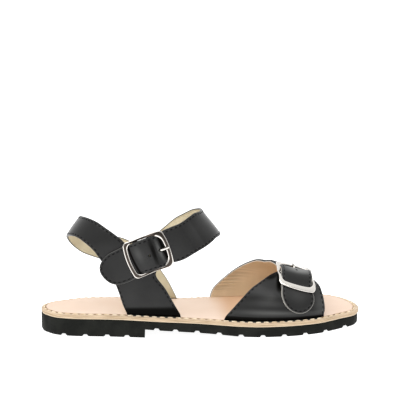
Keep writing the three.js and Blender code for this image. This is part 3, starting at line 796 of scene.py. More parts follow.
def buckle(prefix, place):
    """Frame, centre bar, and the prong, which points away from the strap's tip."""
    outer = rounded(HALF_LENGTH + END_BAND / 2, HALF_BREADTH + BUCKLE_BAND / 2, (OUTER_CORNER, OUTER_CORNER))
    inner = rounded(HALF_LENGTH - END_BAND / 2, HALF_BREADTH - BUCKLE_BAND / 2, INNER_CORNERS)
    for edge in (outer, inner):
        edge[:, 0] += np.sign(edge[:, 0]) * BUCKLE_BOW * (1 - (edge[:, 1] / HALF_BREADTH) ** 2)
    s, w = ((outer + inner) / 2).T
    lift = BAR_HEIGHT + (FRAME_HEIGHT - BAR_HEIGHT) * smooth(np.abs(s) / (HALF_LENGTH - BUCKLE_CORNER - 1))
    line, normals = place.full(s, w, lift)
    half = (place.full(*outer.T, lift)[0] - place.full(*inner.T, lift)[0]) / 2
    u, v = ring_shares(FRAME_SIDES, FRAME_SQUARE)
    upward = v[None, :, None] * BUCKLE_THICKNESS / 2 * normals[:, None]
    rings = line[:, None] + u[None, :, None] * half[:, None] + upward
    glint = np.tile(u, (len(line), 1))
    # The inner arris of the upper long side has no painted glint.
    upper_side = (line[:, 2] > place.origin[2] + 4) & (np.abs(s) < 0.8 * HALF_LENGTH)
    glint[upper_side] = np.maximum(glint[upper_side], 0)
    ring = loft(prefix + "_frame", rings, closed=True, extra={"across": glint})
    forward = unit(place.point(1, 0, 0) - place.point(-1, 0, 0))
    rod = place.point(0, np.linspace(-1, 1, 17) * HALF_BREADTH, BAR_HEIGHT)
    centre_bar = bar(prefix + "_bar", rod, forward, BAR_WIDTH, BAR_THICKNESS, BAR_SQUARE)

    turns = np.radians(np.linspace(40, 330, 24))
    curl = np.stack([CURL_S * np.cos(turns), BAR_HEIGHT + CURL_H * np.sin(turns)], -1)
    rest = FRAME_HEIGHT + BUCKLE_THICKNESS / 2 + CLEARANCE + PRONG_THICKNESS / 2
    low = LEATHER + CLEARANCE + PRONG_THICKNESS / 2 + FLAT_SAG
    through = FRAME_END - HOLE_FROM_END + HOLE_SIZE / 2
    knots = np.array(
        [
            curl[-1],
            (CURL_S * 2, low),
            (through - HOLE_SIZE / 3, low + 1),
            (through + HOLE_SIZE / 5, rest - 0.8),
            (through + HOLE_SIZE * 0.7, rest),
            (FRAME_END, rest),
            (FRAME_END + PRONG_OVERHANG, rest),
        ]
    )
    fine = np.linspace(knots[0, 0], knots[-1, 0], 40)[1:]
    height = column({"s": knots[:, 0], "h": knots[:, 1]}, "s", "h", fine)
    along, height = np.concatenate([curl, np.stack([fine, height], -1)]).T
    tongue = place.point(-along, 0, height)
    prong = bar(prefix + "_prong", tongue, place.sideways, PRONG_WIDTH, PRONG_THICKNESS, PRONG_SQUARE)
    return ring, centre_bar, prong


def chape(prefix, place):
    """The thin leather loops that hold the centre bar, one each side of the prong."""
    foot = LEATHER - STITCH_SINK
    inner = CHAPE_REACH - CHAPE_FOOT
    knots = {
        "s": np.array([-CHAPE_REACH, -inner, -BAR_WIDTH, 0.0, BAR_WIDTH, inner, CHAPE_REACH]),
        "h": np.array([foot, foot, CHAPE_UNDER, CHAPE_UNDER, CHAPE_UNDER, foot, foot]),
    }
    s = np.linspace(-CHAPE_REACH, CHAPE_REACH, 41)
    h = column(knots, "s", "h", s)
    made = []
    for label, half in (("a", 1), ("b", -1)):
        near = half * (PRONG_WIDTH / 2 + CHAPE_GAP)
        far = half * (HALF_BREADTH - CHAPE_INSET)
        section = [place.point(s, w, h) for w in np.linspace(near, far, 9)]
        section += [place.point(s, w, h + CHAPE_WALL) for w in np.linspace(far, near, 9)]
        made.append(loft(prefix + "_" + label, np.stack(section, 1)))
    return made


def punch(pieces, place, spots):
    """Round holes through pieces at spots (along, across) of a buckle's place."""
    cutters = []
    for k, (s, w) in enumerate(spots):
        centre, normal = place.full(s, w, 0.0)
        u = unit(np.cross(normal, place.sideways))
        v = np.cross(normal, u)
        t = np.arange(28) * 2 * np.pi / 28
        circle = HOLE_RADIUS * (np.cos(t)[:, None] * u + np.sin(t)[:, None] * v)
        rings = [centre + circle + normal * h for h in (HOLE_LOW, HOLE_HIGH)]
        cutters.append(loft("cutter_%d" % k, rings))
    for piece in pieces:
        for cutter in cutters:
            cut = piece.modifiers.new("hole", "BOOLEAN")
            cut.operation = "DIFFERENCE"
            cut.solver = "EXACT"
            cut.object = cutter
        piece.data = evaluated(piece)
        piece.modifiers.clear()
    for cutter in cutters:
        bpy.data.objects.remove(cutter)


def add(tree, kind, inputs=(), **settings):
    """A new node's outputs; each of its inputs is given a socket to link or a value to hold."""
    node = tree.nodes.new(kind)
    for label, value in settings.items():
        setattr(node, label, value)
    for label, value in dict(inputs).items():
        if hasattr(value, "node"):
            tree.links.new(value, node.inputs[label])
        else:
            node.inputs[label].default_value = value
    return node.outputs


def math_node(tree, operation, a, b=0.0, clamp=False):
    """A maths node; a and b are sockets or numbers."""
    return add(tree, "ShaderNodeMath", {0: a, 1: b}, operation=operation, use_clamp=clamp)[0]


def ramp_node(tree, source, low, high, to_low=0.0, to_high=1.0):
    """A smooth change from to_low to to_high while the source goes from low to high."""
    inputs = {"Value": source, "From Min": low, "From Max": high, "To Min": to_low, "To Max": to_high}
    return add(tree, "ShaderNodeMapRange", inputs, interpolation_type="SMOOTHSTEP")["Result"]


def numbers(*names):
    return dict.fromkeys(names, "Float")


def group(name, kind, inputs, outputs):
    """A node group with its named sockets, as its tree, its inputs and its results."""
    tree = bpy.data.node_groups.new(name, kind)
    for in_out, sockets in (("INPUT", inputs), ("OUTPUT", outputs)):
        for label, value in sockets.items():
            tree.interface.new_socket(label, in_out=in_out, socket_type="NodeSocket" + value)
    return tree, tree.nodes.new("NodeGroupInput").outputs, tree.nodes.new("NodeGroupOutput").inputs


def stitch_tree():
    """Geometry nodes: one raised stitch at each step along a line, turned to the line and its surface."""
    inputs = {"Geometry": "Geometry"} | numbers("Pitch", "Length", "Width", "Height", "Uneven")
    inputs |= {"Seed": "Int", "Thread": "Material"}
    tree, given, result = group("stitch_row", "GeometryNodeTree", inputs, {"Geometry": "Geometry"})
    line = add(tree, "GeometryNodeMeshToCurve", {"Mesh": given["Geometry"]})["Curve"]
    spaced = add(tree, "GeometryNodeResampleCurve", {"Curve": line, "Length": given["Pitch"]}, mode="LENGTH")
    outward = add(tree, "GeometryNodeInputNamedAttribute", {"Name": "outward"}, data_type="FLOAT_VECTOR")
    tangent = add(tree, "GeometryNodeInputTangent")["Tangent"]
    first = add(tree, "FunctionNodeAlignRotationToVector", {"Vector": tangent}, axis="X")["Rotation"]
    aims = {"Rotation": first, "Vector": outward["Attribute"]}
    second = add(tree, "FunctionNodeAlignRotationToVector", aims, axis="Z", pivot_axis="X")["Rotation"]
    least = math_node(tree, "SUBTRACT", 1.0, given["Uneven"])
    change = add(tree, "FunctionNodeRandomValue", {2: least, "Seed": given["Seed"]}, data_type="FLOAT")[1]
    sizes = {}
    for name, axis in (("Length", "X"), ("Width", "Y"), ("Height", "Z")):
        sizes[axis] = math_node(tree, "MULTIPLY", math_node(tree, "MULTIPLY", given[name], 0.5), change)
    size = add(tree, "ShaderNodeCombineXYZ", sizes)["Vector"]
    bead = add(tree, "GeometryNodeMeshUVSphere", {"Segments": 8, "Rings": 8, "Radius": 1.0})["Mesh"]
    bead = add(tree, "GeometryNodeTransform", {"Geometry": bead, "Rotation": (0, math.pi / 2, 0)})["Geometry"]
    bead = add(tree, "GeometryNodeSetShadeSmooth", {"Geometry": bead})["Geometry"]
    inputs = {"Points": spaced["Curve"], "Instance": bead, "Rotation": second, "Scale": size}
    rows = add(tree, "GeometryNodeInstanceOnPoints", inputs)["Instances"]
    rows = add(tree, "GeometryNodeRealizeInstances", {"Geometry": rows})["Geometry"]
    rows = add(tree, "GeometryNodeSetMaterial", {"Geometry": rows, "Material": given["Thread"]})["Geometry"]
    tree.links.new(rows, result["Geometry"])
    return tree


STITCHES = stitch_tree()


def stitch(name, lines, thread, pitch, size, seed=3, uneven=0.08):
    """Rows of stitches along lines of (points, normals); one piece."""
    points = np.concatenate([line for line, _ in lines])
    normals = np.concatenate([normal for _, normal in lines])
    edges = []
    start = 0
    for line, _ in lines:
        edges += [(start + i, start + i + 1) for i in range(len(line) - 1)]
        start += len(line)
    mesh = bpy.data.meshes.new(name + "_line")
    mesh.from_pydata(((points - [HEEL_CENTRE, 0, 0]) * MM).tolist(), edges, [])
    mesh.attributes.new("outward", "FLOAT_VECTOR", "POINT").data.foreach_set("vector", normals.ravel())
    guide = link_new(name + "_line", mesh)
    repeat = guide.modifiers.new("stitches", "NODES")
    repeat.node_group = STITCHES
    values = {"Pitch": pitch * MM, "Length": size[0] * MM, "Width": size[1] * MM, "Height": size[2] * MM}
    values |= {"Uneven": uneven, "Seed": seed, "Thread": thread}
    for item in STITCHES.interface.items_tree:
        if item.in_out == "INPUT" and item.name in values:
            repeat[item.identifier] = values[item.name]
    rows = evaluated(guide)
    bpy.data.objects.remove(guide)
    return link_new(name, rows)


def seam(band, start, end):
    """Lines of stitching inside the long edges of a band, carried round its tip."""
    tipped = band.tip > 0 and end >= band.length
    last = band.length - band.tip if tipped else end
    at = np.linspace(start, last, int((last - start) / SEAM_STEP) + 2)
    if tipped:
        turns = np.radians(np.linspace(4, 89, 16))
        at = np.concatenate([at, last + (band.tip - STITCH_INSET) * np.sin(turns)])
    half = 0.5 * band.keep(at, STITCH_INSET)
    p0, n0 = band.place(at, 0.5 - half, LEATHER)
    p1, n1 = band.place(at, 0.5 + half, LEATHER)
    if tipped:
        return [(np.concatenate([p0, p1[::-1]]), np.concatenate([n0, n1[::-1]]))]
    return [(p0, n0), (p1, n1)]


# Materials.
def grain_group():
    """Fine cells with a softer wave over them: a height in metres and a slow shade from 0 to 1."""
    inputs = numbers("Cells", "Depth", "Patches")
    tree, given, result = group("grain", "ShaderNodeTree", inputs, numbers("Height", "Shade"))
    where = add(tree, "ShaderNodeTexCoord")["Object"]
    wave = math_node(tree, "MULTIPLY", given["Cells"], 0.4)
    cells = add(tree, "ShaderNodeTexVoronoi", {"Vector": where, "Scale": given["Cells"]})
    soft = add(tree, "ShaderNodeTexNoise", {"Vector": where, "Scale": wave, "Detail": 4.0})
    slow = add(tree, "ShaderNodeTexNoise", {"Vector": where, "Scale": given["Patches"], "Detail": 3.0})
    both = math_node(tree, "ADD", cells["Distance"], soft["Fac"])
    tree.links.new(math_node(tree, "MULTIPLY", both, given["Depth"]), result["Height"])
    tree.links.new(slow["Fac"], result["Shade"])
    return tree


def brink_group():
    """Masks from the distance to a cut edge: the edge itself, and the furrow the stitches lie in."""
    inputs = numbers("Reach", "Seam", "Half")
    tree, given, result = group("brink", "ShaderNodeTree", inputs, numbers("Edge", "Furrow"))
    far = add(tree, "ShaderNodeAttribute", attribute_name="brink")["Fac"]
    share = math_node(tree, "DIVIDE", far, given["Reach"], True)
    tree.links.new(math_node(tree, "SUBTRACT", 1.0, share), result["Edge"])
    off = math_node(tree, "ABSOLUTE", math_node(tree, "SUBTRACT", far, given["Seam"]))
    near = math_node(tree, "SUBTRACT", 1.0, math_node(tree, "DIVIDE", off, given["Half"]), True)
    tree.links.new(math_node(tree, "MULTIPLY", near, near), result["Furrow"])
    return tree


GRAIN = grain_group()
BRINK = brink_group()


class Finish:
    """A material under way: its tree, its shader and the helpers that fill them."""

    def __init__(self, name, colour, roughness, metallic=0.0):
        self.material = bpy.data.materials.new(name)
        self.material.use_nodes = True
        self.tree = self.material.node_tree
        self.shader = self.tree.nodes["Principled BSDF"]
        self.set("Base Color", (*colour, 1))
        self.set("Roughness", roughness)
        self.set("Metallic", metallic)

    def set(self, socket, value):
        self.shader.inputs[socket].default_value = value

    def link(self, source, socket):
        self.tree.links.new(source, self.shader.inputs[socket])

    def use(self, tree, **values):
        return add(self.tree, "ShaderNodeGroup", values, node_tree=tree)

    def maths(self, operation, a, b=0.0):
        return math_node(self.tree, operation, a, b)

    def times(self, a, b):
        return math_node(self.tree, "MULTIPLY", a, b)

    def ramp(self, source, *limits):
        return ramp_node(self.tree, source, *limits)

    def mix(self, factor, a, b):
        """A colour between a and b, which are sockets or colours."""
        a, b = (v if hasattr(v, "node") else (*v, 1) for v in (a, b))
        return add(self.tree, "ShaderNodeMix", {"Factor": factor, 6: a, 7: b}, data_type="RGBA")[2]

    def tones(self, grain, low, high, dim, light):
        """A colour that changes between two tones with the grain's slow shade."""
        return self.mix(self.ramp(grain["Shade"], low, high), dim, light)

    def bump(self, height):
        node = add(self.tree, "ShaderNodeBump", {"Strength": 1.0, "Distance": 1.0, "Height": height})
        self.link(node["Normal"], "Normal")

    def attribute(self, name, output="Fac"):
        return add(self.tree, "ShaderNodeAttribute", attribute_name=name)[output]

    def run(self):
        return add(self.tree, "ShaderNodeUVMap", uv_map="run")["UV"]

    def parts(self, vector):
        return add(self.tree, "ShaderNodeSeparateXYZ", {"Vector": vector})

    def noise(self, vector, detail, stretch):
        spread = add(self.tree, "ShaderNodeMapping", {"Vector": vector, "Scale": stretch})
        inputs = {"Vector": spread["Vector"], "Scale": 1.0, "Detail": detail}
        return add(self.tree, "ShaderNodeTexNoise", inputs)["Fac"]


def black_leather(name, cut_edge=(0.03, 0.029, 0.027), cut_from=0.0):
    """Satin leather with painted shade, painted highlights and painted shade in the stitch furrow; its cut
    edge takes another tone from a station of the band onwards.
    """
    f = Finish(name, (0.01, 0.01, 0.01), 0.38)
    grain = f.use(GRAIN, Cells=1500.0, Depth=0.000035, Patches=45.0)
    brink = f.use(BRINK, Reach=0.0008, Seam=STITCH_INSET * MM, Half=0.0008)
    # Painted shade darkens the colour and the reflection; painted highlights, from values below 0, lighten
    # it.
    dark = f.ramp(f.attribute("dark"), 0.0, MM)
    painted_highlight = f.ramp(f.attribute("dark"), -MM, 0.0, 1.0, 0.0)
    body = f.tones(grain, 0.35, 0.7, (0.0078, 0.0078, 0.0076), (0.0125, 0.0125, 0.0122))
    body = f.mix(painted_highlight, f.mix(dark, body, (0.002, 0.0018, 0.0014)), (0.15, 0.151, 0.147))
    # Painted shade in the furrow the stitches lie in.
    body = f.mix(f.times(brink["Furrow"], 0.45), body, (0.003, 0.003, 0.003))
    # The cut edge is paler, partly its own tone and partly a painted highlight.
    onwards = f.ramp(f.parts(f.run())["X"], cut_from - 0.001, cut_from + 0.001)
    tone = f.mix(onwards, (0.02, 0.0195, 0.0185), cut_edge)
    f.link(f.mix(f.times(brink["Edge"], 0.5), body, tone), "Base Color")
    f.link(f.ramp(grain["Shade"], 0.3, 0.75, 0.4, 0.3), "Roughness")
    # The coat is dulled under painted shade and in the stitch furrow.
    dull = f.maths("MAXIMUM", dark, f.times(brink["Furrow"], 0.3))
    f.link(f.ramp(dark, 0.0, 1.0, 0.29, 0.03), "Specular IOR Level")
    f.link(f.ramp(dull, 0.0, 1.0, 0.06, 0.0), "Coat Weight")
    f.set("Coat Roughness", 0.22)
    f.bump(f.maths("SUBTRACT", grain["Height"], f.times(brink["Furrow"], 0.0002)))
    return f.material


def lining(name, dim, light, edge, creased=False, reach=0.0007):
    """Pale leather; creased, it has short wrinkles across the band close to its foot, with painted shade in
    them.
    """
    f = Finish(name, light, 0.55)
    grain = f.use(GRAIN, Cells=1900.0, Depth=0.00002, Patches=60.0)
    brink = f.use(BRINK, Reach=reach, Seam=STITCH_INSET * MM, Half=0.0008)
    body = f.tones(grain, 0.3, 0.7, dim, light)
    height = f.maths("SUBTRACT", grain["Height"], f.times(brink["Furrow"], 0.00015))
    if creased:
        run = f.run()
        along = f.parts(run)["X"]
        folds = f.ramp(f.noise(run, 1.0, (820.0, 20.0, 1.0)), 0.42, 0.56)
        near = f.ramp(f.attribute("brink"), 0.003, 0.024, 1.0, 0.0)
        low = f.times(f.ramp(along, 0.002, 0.006), near)
        zone = f.times(low, f.ramp(along, 0.018, 0.03, 1.0, 0.0))
        # Painted shade in the wrinkles.
        body = f.mix(f.times(folds, f.times(zone, 0.45)), body, (0.34, 0.25, 0.15))
        height = f.maths("SUBTRACT", height, f.times(folds, f.times(zone, 0.0003)))
    f.link(f.mix(brink["Edge"], body, edge), "Base Color")
    f.set("Specular IOR Level", 0.35)
    f.bump(height)
    return f.material


def insole_leather():
    """Bare leather, with painted shade that makes it browner where the vamp covers it and dark along its rim.
    """
    f = Finish("insole_leather", (0.82, 0.64, 0.51), 0.42)
    grain = f.use(GRAIN, Cells=1700.0, Depth=0.000018, Patches=22.0)
    sole = f.parts(f.attribute("sole", "Vector"))
    body = f.tones(grain, 0.3, 0.7, (0.745, 0.56, 0.43), (0.805, 0.63, 0.505))
    # Painted shade under the vamp, fading out before the toe opening.
    under_vamp_shade = f.ramp(sole["X"], 0.53 * SOLE_LENGTH * MM, 0.6 * SOLE_LENGTH * MM, 0.0, 0.75)
    opened = f.ramp(sole["X"], 0.84 * SOLE_LENGTH * MM, 0.89 * SOLE_LENGTH * MM, 1.0, 0.0)
    body = f.mix(f.times(under_vamp_shade, opened), body, (0.6, 0.36, 0.2))
    # Painted shade in the gap along the insole's rim.
    rim = f.ramp(sole["Y"], RECESS * MM, (RECESS + 0.9) * MM, 1.0, 0.0)
    f.link(f.mix(rim, body, (0.32, 0.2, 0.11)), "Base Color")
    f.set("Specular IOR Level", 0.4)
    f.bump(grain["Height"])
    return f.material


def welt_leather():
    """Tan leather; its side shows fibres and a lighter foot."""
    f = Finish("welt_leather", (0.6, 0.46, 0.3), 0.6)
    vector = f.attribute("sole", "Vector")
    sole = f.parts(vector)
    fibres = f.noise(vector, 5.0, (60.0, 60.0, 3600.0))
    grain = f.use(GRAIN, Cells=1400.0, Depth=0.00002, Patches=80.0)
    side = f.ramp(sole["Y"], 0.0002, 0.0006, 1.0, 0.0)
    edge = f.mix(f.ramp(fibres, 0.38, 0.62), (0.36, 0.25, 0.15), (0.66, 0.51, 0.35))
    foot = f.ramp(sole["Z"], 0.0004, 0.0009, 1.0, 0.0)
    edge = f.mix(f.times(foot, 0.7), edge, (0.8, 0.68, 0.5))
    top = f.tones(grain, 0.3, 0.7, (0.5, 0.39, 0.27), (0.62, 0.5, 0.37))
    f.link(f.mix(side, top, edge), "Base Color")
    f.set("Specular IOR Level", 0.3)
    f.bump(f.maths("ADD", grain["Height"], f.times(fibres, 0.0001)))
    return f.material


def rubber():
    f = Finish("rubber", (0.013, 0.0135, 0.0115), 0.78)
    grain = f.use(GRAIN, Cells=900.0, Depth=0.00006, Patches=70.0)
    body = f.tones(grain, 0.4, 0.65, (0.006, 0.0066, 0.0054), (0.011, 0.0118, 0.0098))
    f.link(body, "Base Color")
    f.set("Specular IOR Level", 0.15)
    f.bump(grain["Height"])
    return f.material


def nickel(name, middle, arris_glint=(0.88, 0.84, 0.79)):
    """Polished metal; the arrises and the band between them take two tones, painted glints and painted
    reflections.
    """
    f = Finish(name, middle, 0.12, 1.0)
    grain = f.use(GRAIN, Cells=600.0, Depth=0.000003, Patches=120.0)
    off = f.maths("ABSOLUTE", f.attribute("across"))
    f.link(f.mix(f.ramp(off, 0.00045, 0.00075), middle, arris_glint), "Base Color")
    f.link(f.ramp(grain["Shade"], 0.3, 0.7, 0.1, 0.2), "Roughness")
    f.bump(grain["Height"])
    return f.material


def thread(name, dark, light, roughness):
    f = Finish(name, light, roughness)
    f.set("Specular IOR Level", 0.14)
    grain = f.use(GRAIN, Cells=2600.0, Depth=0.00003, Patches=300.0)
    f.link(f.tones(grain, 0.35, 0.65, dark, light), "Base Color")
    f.bump(grain["Height"])
    return f.material


# The sole.
RECESS = WELT_LEDGE + CLEARANCE
GROOVES = [g * SOLE_LENGTH for g in (0.068, 0.134, 0.201, 0.2615, 0.3525)]
next_groove = 0.4103 * SOLE_LENGTH
while next_groove < SOLE_LENGTH - 0.6 * LUG_PITCH:
    GROOVES.append(next_groove)
    next_groove += LUG_PITCH


def tread_under(x):
    cut = np.zeros_like(x)
    for g in GROOVES:
        off = np.abs(x - g)
        wall = (LUG_MOUTH - LUG_ROOT) / 2
        cut = np.maximum(cut, LUG_DEPTH * np.clip((LUG_MOUTH / 2 - off) / wall, 0, 1))
    return rubber_under(x) + cut


def over(function, lift):
    return lambda x: function(x) + lift


def toe(x):
    """0 along the sole, 1 at the tip of the toe."""
    return smooth((x / SOLE_LENGTH - 0.95) / 0.05)


def drawn(inset, more):
    return lambda x: inset + more * toe(x)


def recess_floor(x):
    return insole_top(x) - INSOLE_THICKNESS - CLEARANCE


base = (1 - np.cos(np.pi * np.linspace(0, 1, 301))) / 2 * SOLE_LENGTH
marks = [g + d for g in GROOVES for d in (-LUG_MOUTH / 2, -LUG_ROOT / 2, LUG_ROOT / 2, LUG_MOUTH / 2)]
marks += [HEEL_BREAST * SOLE_LENGTH - 0.15, HEEL_BREAST * SOLE_LENGTH + 0.15]
stations = np.unique(np.round(np.concatenate([base, marks]), 3))
stations = stations[np.concatenate([[True], np.diff(stations) > 0.02])]
outsole = sole_loft(
    "outsole_rubber",
    stations,
    [
        (drawn(0.8, 1.1), tread_under),
        (drawn(0.25, 1.0), over(tread_under, 0.25)),
        (drawn(0.0, 0.9), over(tread_under, 0.8)),
        (drawn(0.0, 0.7), over(rubber_top, -0.7)),
        (drawn(0.2, 0.7), over(rubber_top, -0.2)),
        (drawn(0.7, 0.7), rubber_top),
    ],
    6,
)
welt = sole_loft(
    "welt_band",
    base,
    [
        (0.5, welt_under),
        (0.15, over(welt_under, 0.15)),
        (0, over(welt_under, 0.5)),
        (0, over(welt_top, -0.6)),
        (0.2, over(welt_top, -0.2)),
        (0.6, welt_top),
        (drawn(WELT_LEDGE - 0.2, LEDGE_MORE), welt_top),
        (drawn(WELT_LEDGE, LEDGE_MORE), over(welt_top, -0.2)),
        (drawn(WELT_LEDGE, LEDGE_MORE), recess_floor),
    ],
    2,
)
insole = sole_loft(
    "insole_board",
    base,
    [
        (drawn(RECESS + 0.3, LEDGE_MORE), over(recess_floor, CLEARANCE)),
        (drawn(RECESS, LEDGE_MORE), over(recess_floor, CLEARANCE + 0.3)),
        (drawn(RECESS, LEDGE_MORE), over(insole_top, -0.5)),
        (drawn(RECESS + 0.15, LEDGE_MORE), over(insole_top, -0.15)),
        (drawn(RECESS + 0.5, LEDGE_MORE), insole_top),
    ],
    24,
)

# The uppers, with their main folds as (station, share across, reach along, reach across, depth).
ankle_place = Place(ankle_strap)
vamp_place = Place(medial_panel)
lateral_panel.creases = [
    (11, 0.30, 3.5, 0.42, -0.5),
    (19, 0.45, 5.0, 0.5, 0.55),
    (30, 0.28, 4.5, 0.3, -0.4),
    (8, 0.8, 3.0, 0.25, 0.35),
]
quarters.creases = [
    (9, 0.5, 4.0, 0.7, -0.35),
    (22, 0.35, 6.0, 0.5, 0.45),
    (quarters.length - 10, 0.5, 5.0, 0.6, -0.3),
]
ankle_strap.creases = [
    (ankle_place.at + 5.0, 0.45, 4.5, 0.35, 0.6),
    (ankle_place.at - 4.8, 0.5, 1.7, 0.8, -0.5),
    (ankle_place.at - 9.0, 0.6, 2.0, 0.4, 0.45),
]
# Painted shade, and painted highlights below 0, as (station, share across, reach along, reach across,
# strength).
# A pair of lists instead of a station or a share is a line that the place follows.
quarters.painted_shading = [
    (0, 0.5, 8.0, 9, 1.0),
    (26, 0.5, 24.0, 9, 0.32),
    (quarters.length, 0.5, 8.0, 9, 1.0),
    (16, 0.72, 7.0, 0.22, -0.15),
    (quarters.rows["run"][12], 0.5, 15.0, 9, 0.25),
]
ankle_strap.painted_shading = [
    (ankle_strap.length, 0.5, 26.0, 9, 0.3),
    (ankle_place.at + 5.5, 0.4, 5.0, 0.3, -0.3),
    (((0, 0.35, 0.6, 1), ankle_place.at - np.array([5.0, 4.6, 3.6, 1.6])), 0.45, 2.0, 0.5, 0.72),
    (ankle_place.at - 9.0, 0.5, 2.0, 0.4, -0.5),
    (ankle_place.at - 12.4, 0.5, 1.5, 9, 0.9),
    (ankle_place.at + 12.2, 0.5, 1.0, 9, 0.9),
    (ankle_place.at - 40, 0.5, 16.0, 0.5, -0.12),
]
# A painted shadow on the lateral panel follows this line beside the vamp tab.
BESIDE_TAB = ((26, 34, 42, 50, 58, 66, 74), (0.42, 0.372, 0.318, 0.262, 0.2, 0.125, 0.04))
beside = np.interp(BESIDE_TAB[0], [r[0] for r in LATERAL_PANEL], lateral_panel.rows["run"])
lateral_panel.painted_shading = [
    (0, 0.5, 2.6, 9, 1.0),
    (beside[5] - 1, 0.07, 9.0, 0.1, 1.0),
    (6.5, 0.42, 2.8, 0.4, -0.42),
    (17, 0.33, 6.0, 0.16, -0.25),
    (16, 0.94, 14.0, 0.09, -0.3),
    ((beside[0] + beside[-1]) / 2 + 2, (beside, BESIDE_TAB[1]), (beside[-1] - beside[0]) / 2, 0.05, 1.0),
]
medial_panel.painted_shading = [
    (0, 0.5, 2.4, 9, 1.0),
    (vamp_place.at - 2.5, 0.6, 5.5, 0.45, -1.0),
    (vamp_place.at - 7.6, 0.2, 1.1, 0.17, 1.0),
    (vamp_place.at - 7.6, 0.82, 1.1, 0.14, 1.0),
    (vamp_place.at + 22, 0.5, 8.0, 0.4, -0.22),
    (vamp_place.at - 11.6, 0.3, 1.2, 0.5, 0.9),
]


def wall(name, band, draw=0.0, spacing=1.0, across=30):
    """The leather and the lining of a band, the lining's edges drawn in by draw."""
    leather = (LINING, LEATHER, EDGE_ROUND, EDGE_EASE, 0.0)
    inside = (0, LINING, LINING_ROUND, LINING_EASE, draw)
    return (
        shell(name + "_leather", band, *leather, spacing, across),
        shell(name + "_lining", band, *inside, spacing, across),
    )


rear_shell, rear_lining = wall("quarters", quarters, draw=LINING_DRAW)
strap_shell, strap_lining = wall("ankle_strap", ankle_strap, draw=LINING_DRAW)
lateral_shell, lateral_lining = wall("vamp_lateral", lateral_panel, across=60)
medial_shell, medial_lining = wall("vamp_medial", medial_panel, spacing=0.6, across=60)

ankle_metal = buckle("ankle_buckle", ankle_place)
vamp_metal = buckle("vamp_buckle", vamp_place)
ankle_chape = chape("ankle_chape", ankle_place)
vamp_chape = chape("vamp_chape", vamp_place)

PRONG_SPOT = -(FRAME_END - HOLE_FROM_END + HOLE_SIZE / 2)
punch([strap_shell, strap_lining], ankle_place, [(PRONG_SPOT, 0), (SPARE_HOLE, 0.6)])
punch([medial_shell, medial_lining], vamp_place, [(PRONG_SPOT, 0), (SPARE_HOLE, 0)])


def flange(name, side, band, at):
    """The thin foot of an upper, turned out on the rim and caught by the thick stitches."""
    edges, _ = band.place(np.array([at, at]), np.array([0.0, 1.0]), LEATHER)
    first, last = sorted(edges[:, 0])
    x = np.linspace(first, last, int((last - first) / 1.5) + 2)
    end = np.minimum(1, np.minimum(x - first, last - x) / FLANGE_END)
    outer = RECESS + FLANGE_TUCK - (FLANGE_REACH + FLANGE_TUCK) * np.sqrt(end)
    inner = RECESS + 0.8
    corners = [(outer, 0.02), (outer, 0.3), (outer + 0.25, 0.5), (inner, 0.75), (inner, 0.02), (inner, 0.0)]
    section = []
    for inset, lift in corners:
        px, py = rim_line(side, x, inset)
        section.append(np.stack([px, py, welt_top(x) + lift], -1))
    return loft(name, np.stack(section, 1))


quarter_feet = [
    flange("quarter_foot_lateral", "lateral", quarters, 0.0),
    flange("quarter_foot_medial", "medial", quarters, quarters.length),
]
lateral_foot = flange("vamp_foot_lateral", "lateral", lateral_panel, 0.0)
medial_foot = flange("vamp_foot_medial", "medial", medial_panel, 0.0)

BLACK_THREAD = thread("black_thread", (0.0015, 0.0015, 0.0015), (0.004, 0.004, 0.004), 0.9)
CREAM_THREAD = thread("cream_thread", (0.68, 0.52, 0.34), (0.9, 0.78, 0.6), 0.6)

welt_rows = []
for side in ("lateral", "medial"):
    x = (1 - np.cos(np.pi * np.linspace(0.02, 0.98, 200))) / 2 * SOLE_LENGTH
    px, py = rim_line(side, x, WELT_STITCH_INSET + LEDGE_MORE * 0.9 * toe(x))
    row = np.stack([px, py, welt_top(x) + 0.15], -1)
    welt_rows.append((row, np.tile([0.0, 0.0, 1.0], (len(x), 1))))
welt_thread = stitch("welt_stitches", welt_rows, CREAM_THREAD, WELT_PITCH, WELT_STITCH, uneven=0.06)


def fine_row(name, band, start, end):
    return stitch(name, seam(band, start, end), BLACK_THREAD, FINE_PITCH, FINE_STITCH)


quarter_thread = fine_row("quarter_stitches", quarters, 5, quarters.length - 5)
strap_thread = fine_row("strap_stitches", ankle_strap, 16, ankle_strap.length)
lateral_thread = fine_row("vamp_lateral_stitches", lateral_panel, 5, lateral_panel.length - 4)
medial_thread = fine_row("vamp_medial_stitches", medial_panel, 5, medial_panel.length)

LEATHER_FINISH = black_leather("black_leather")
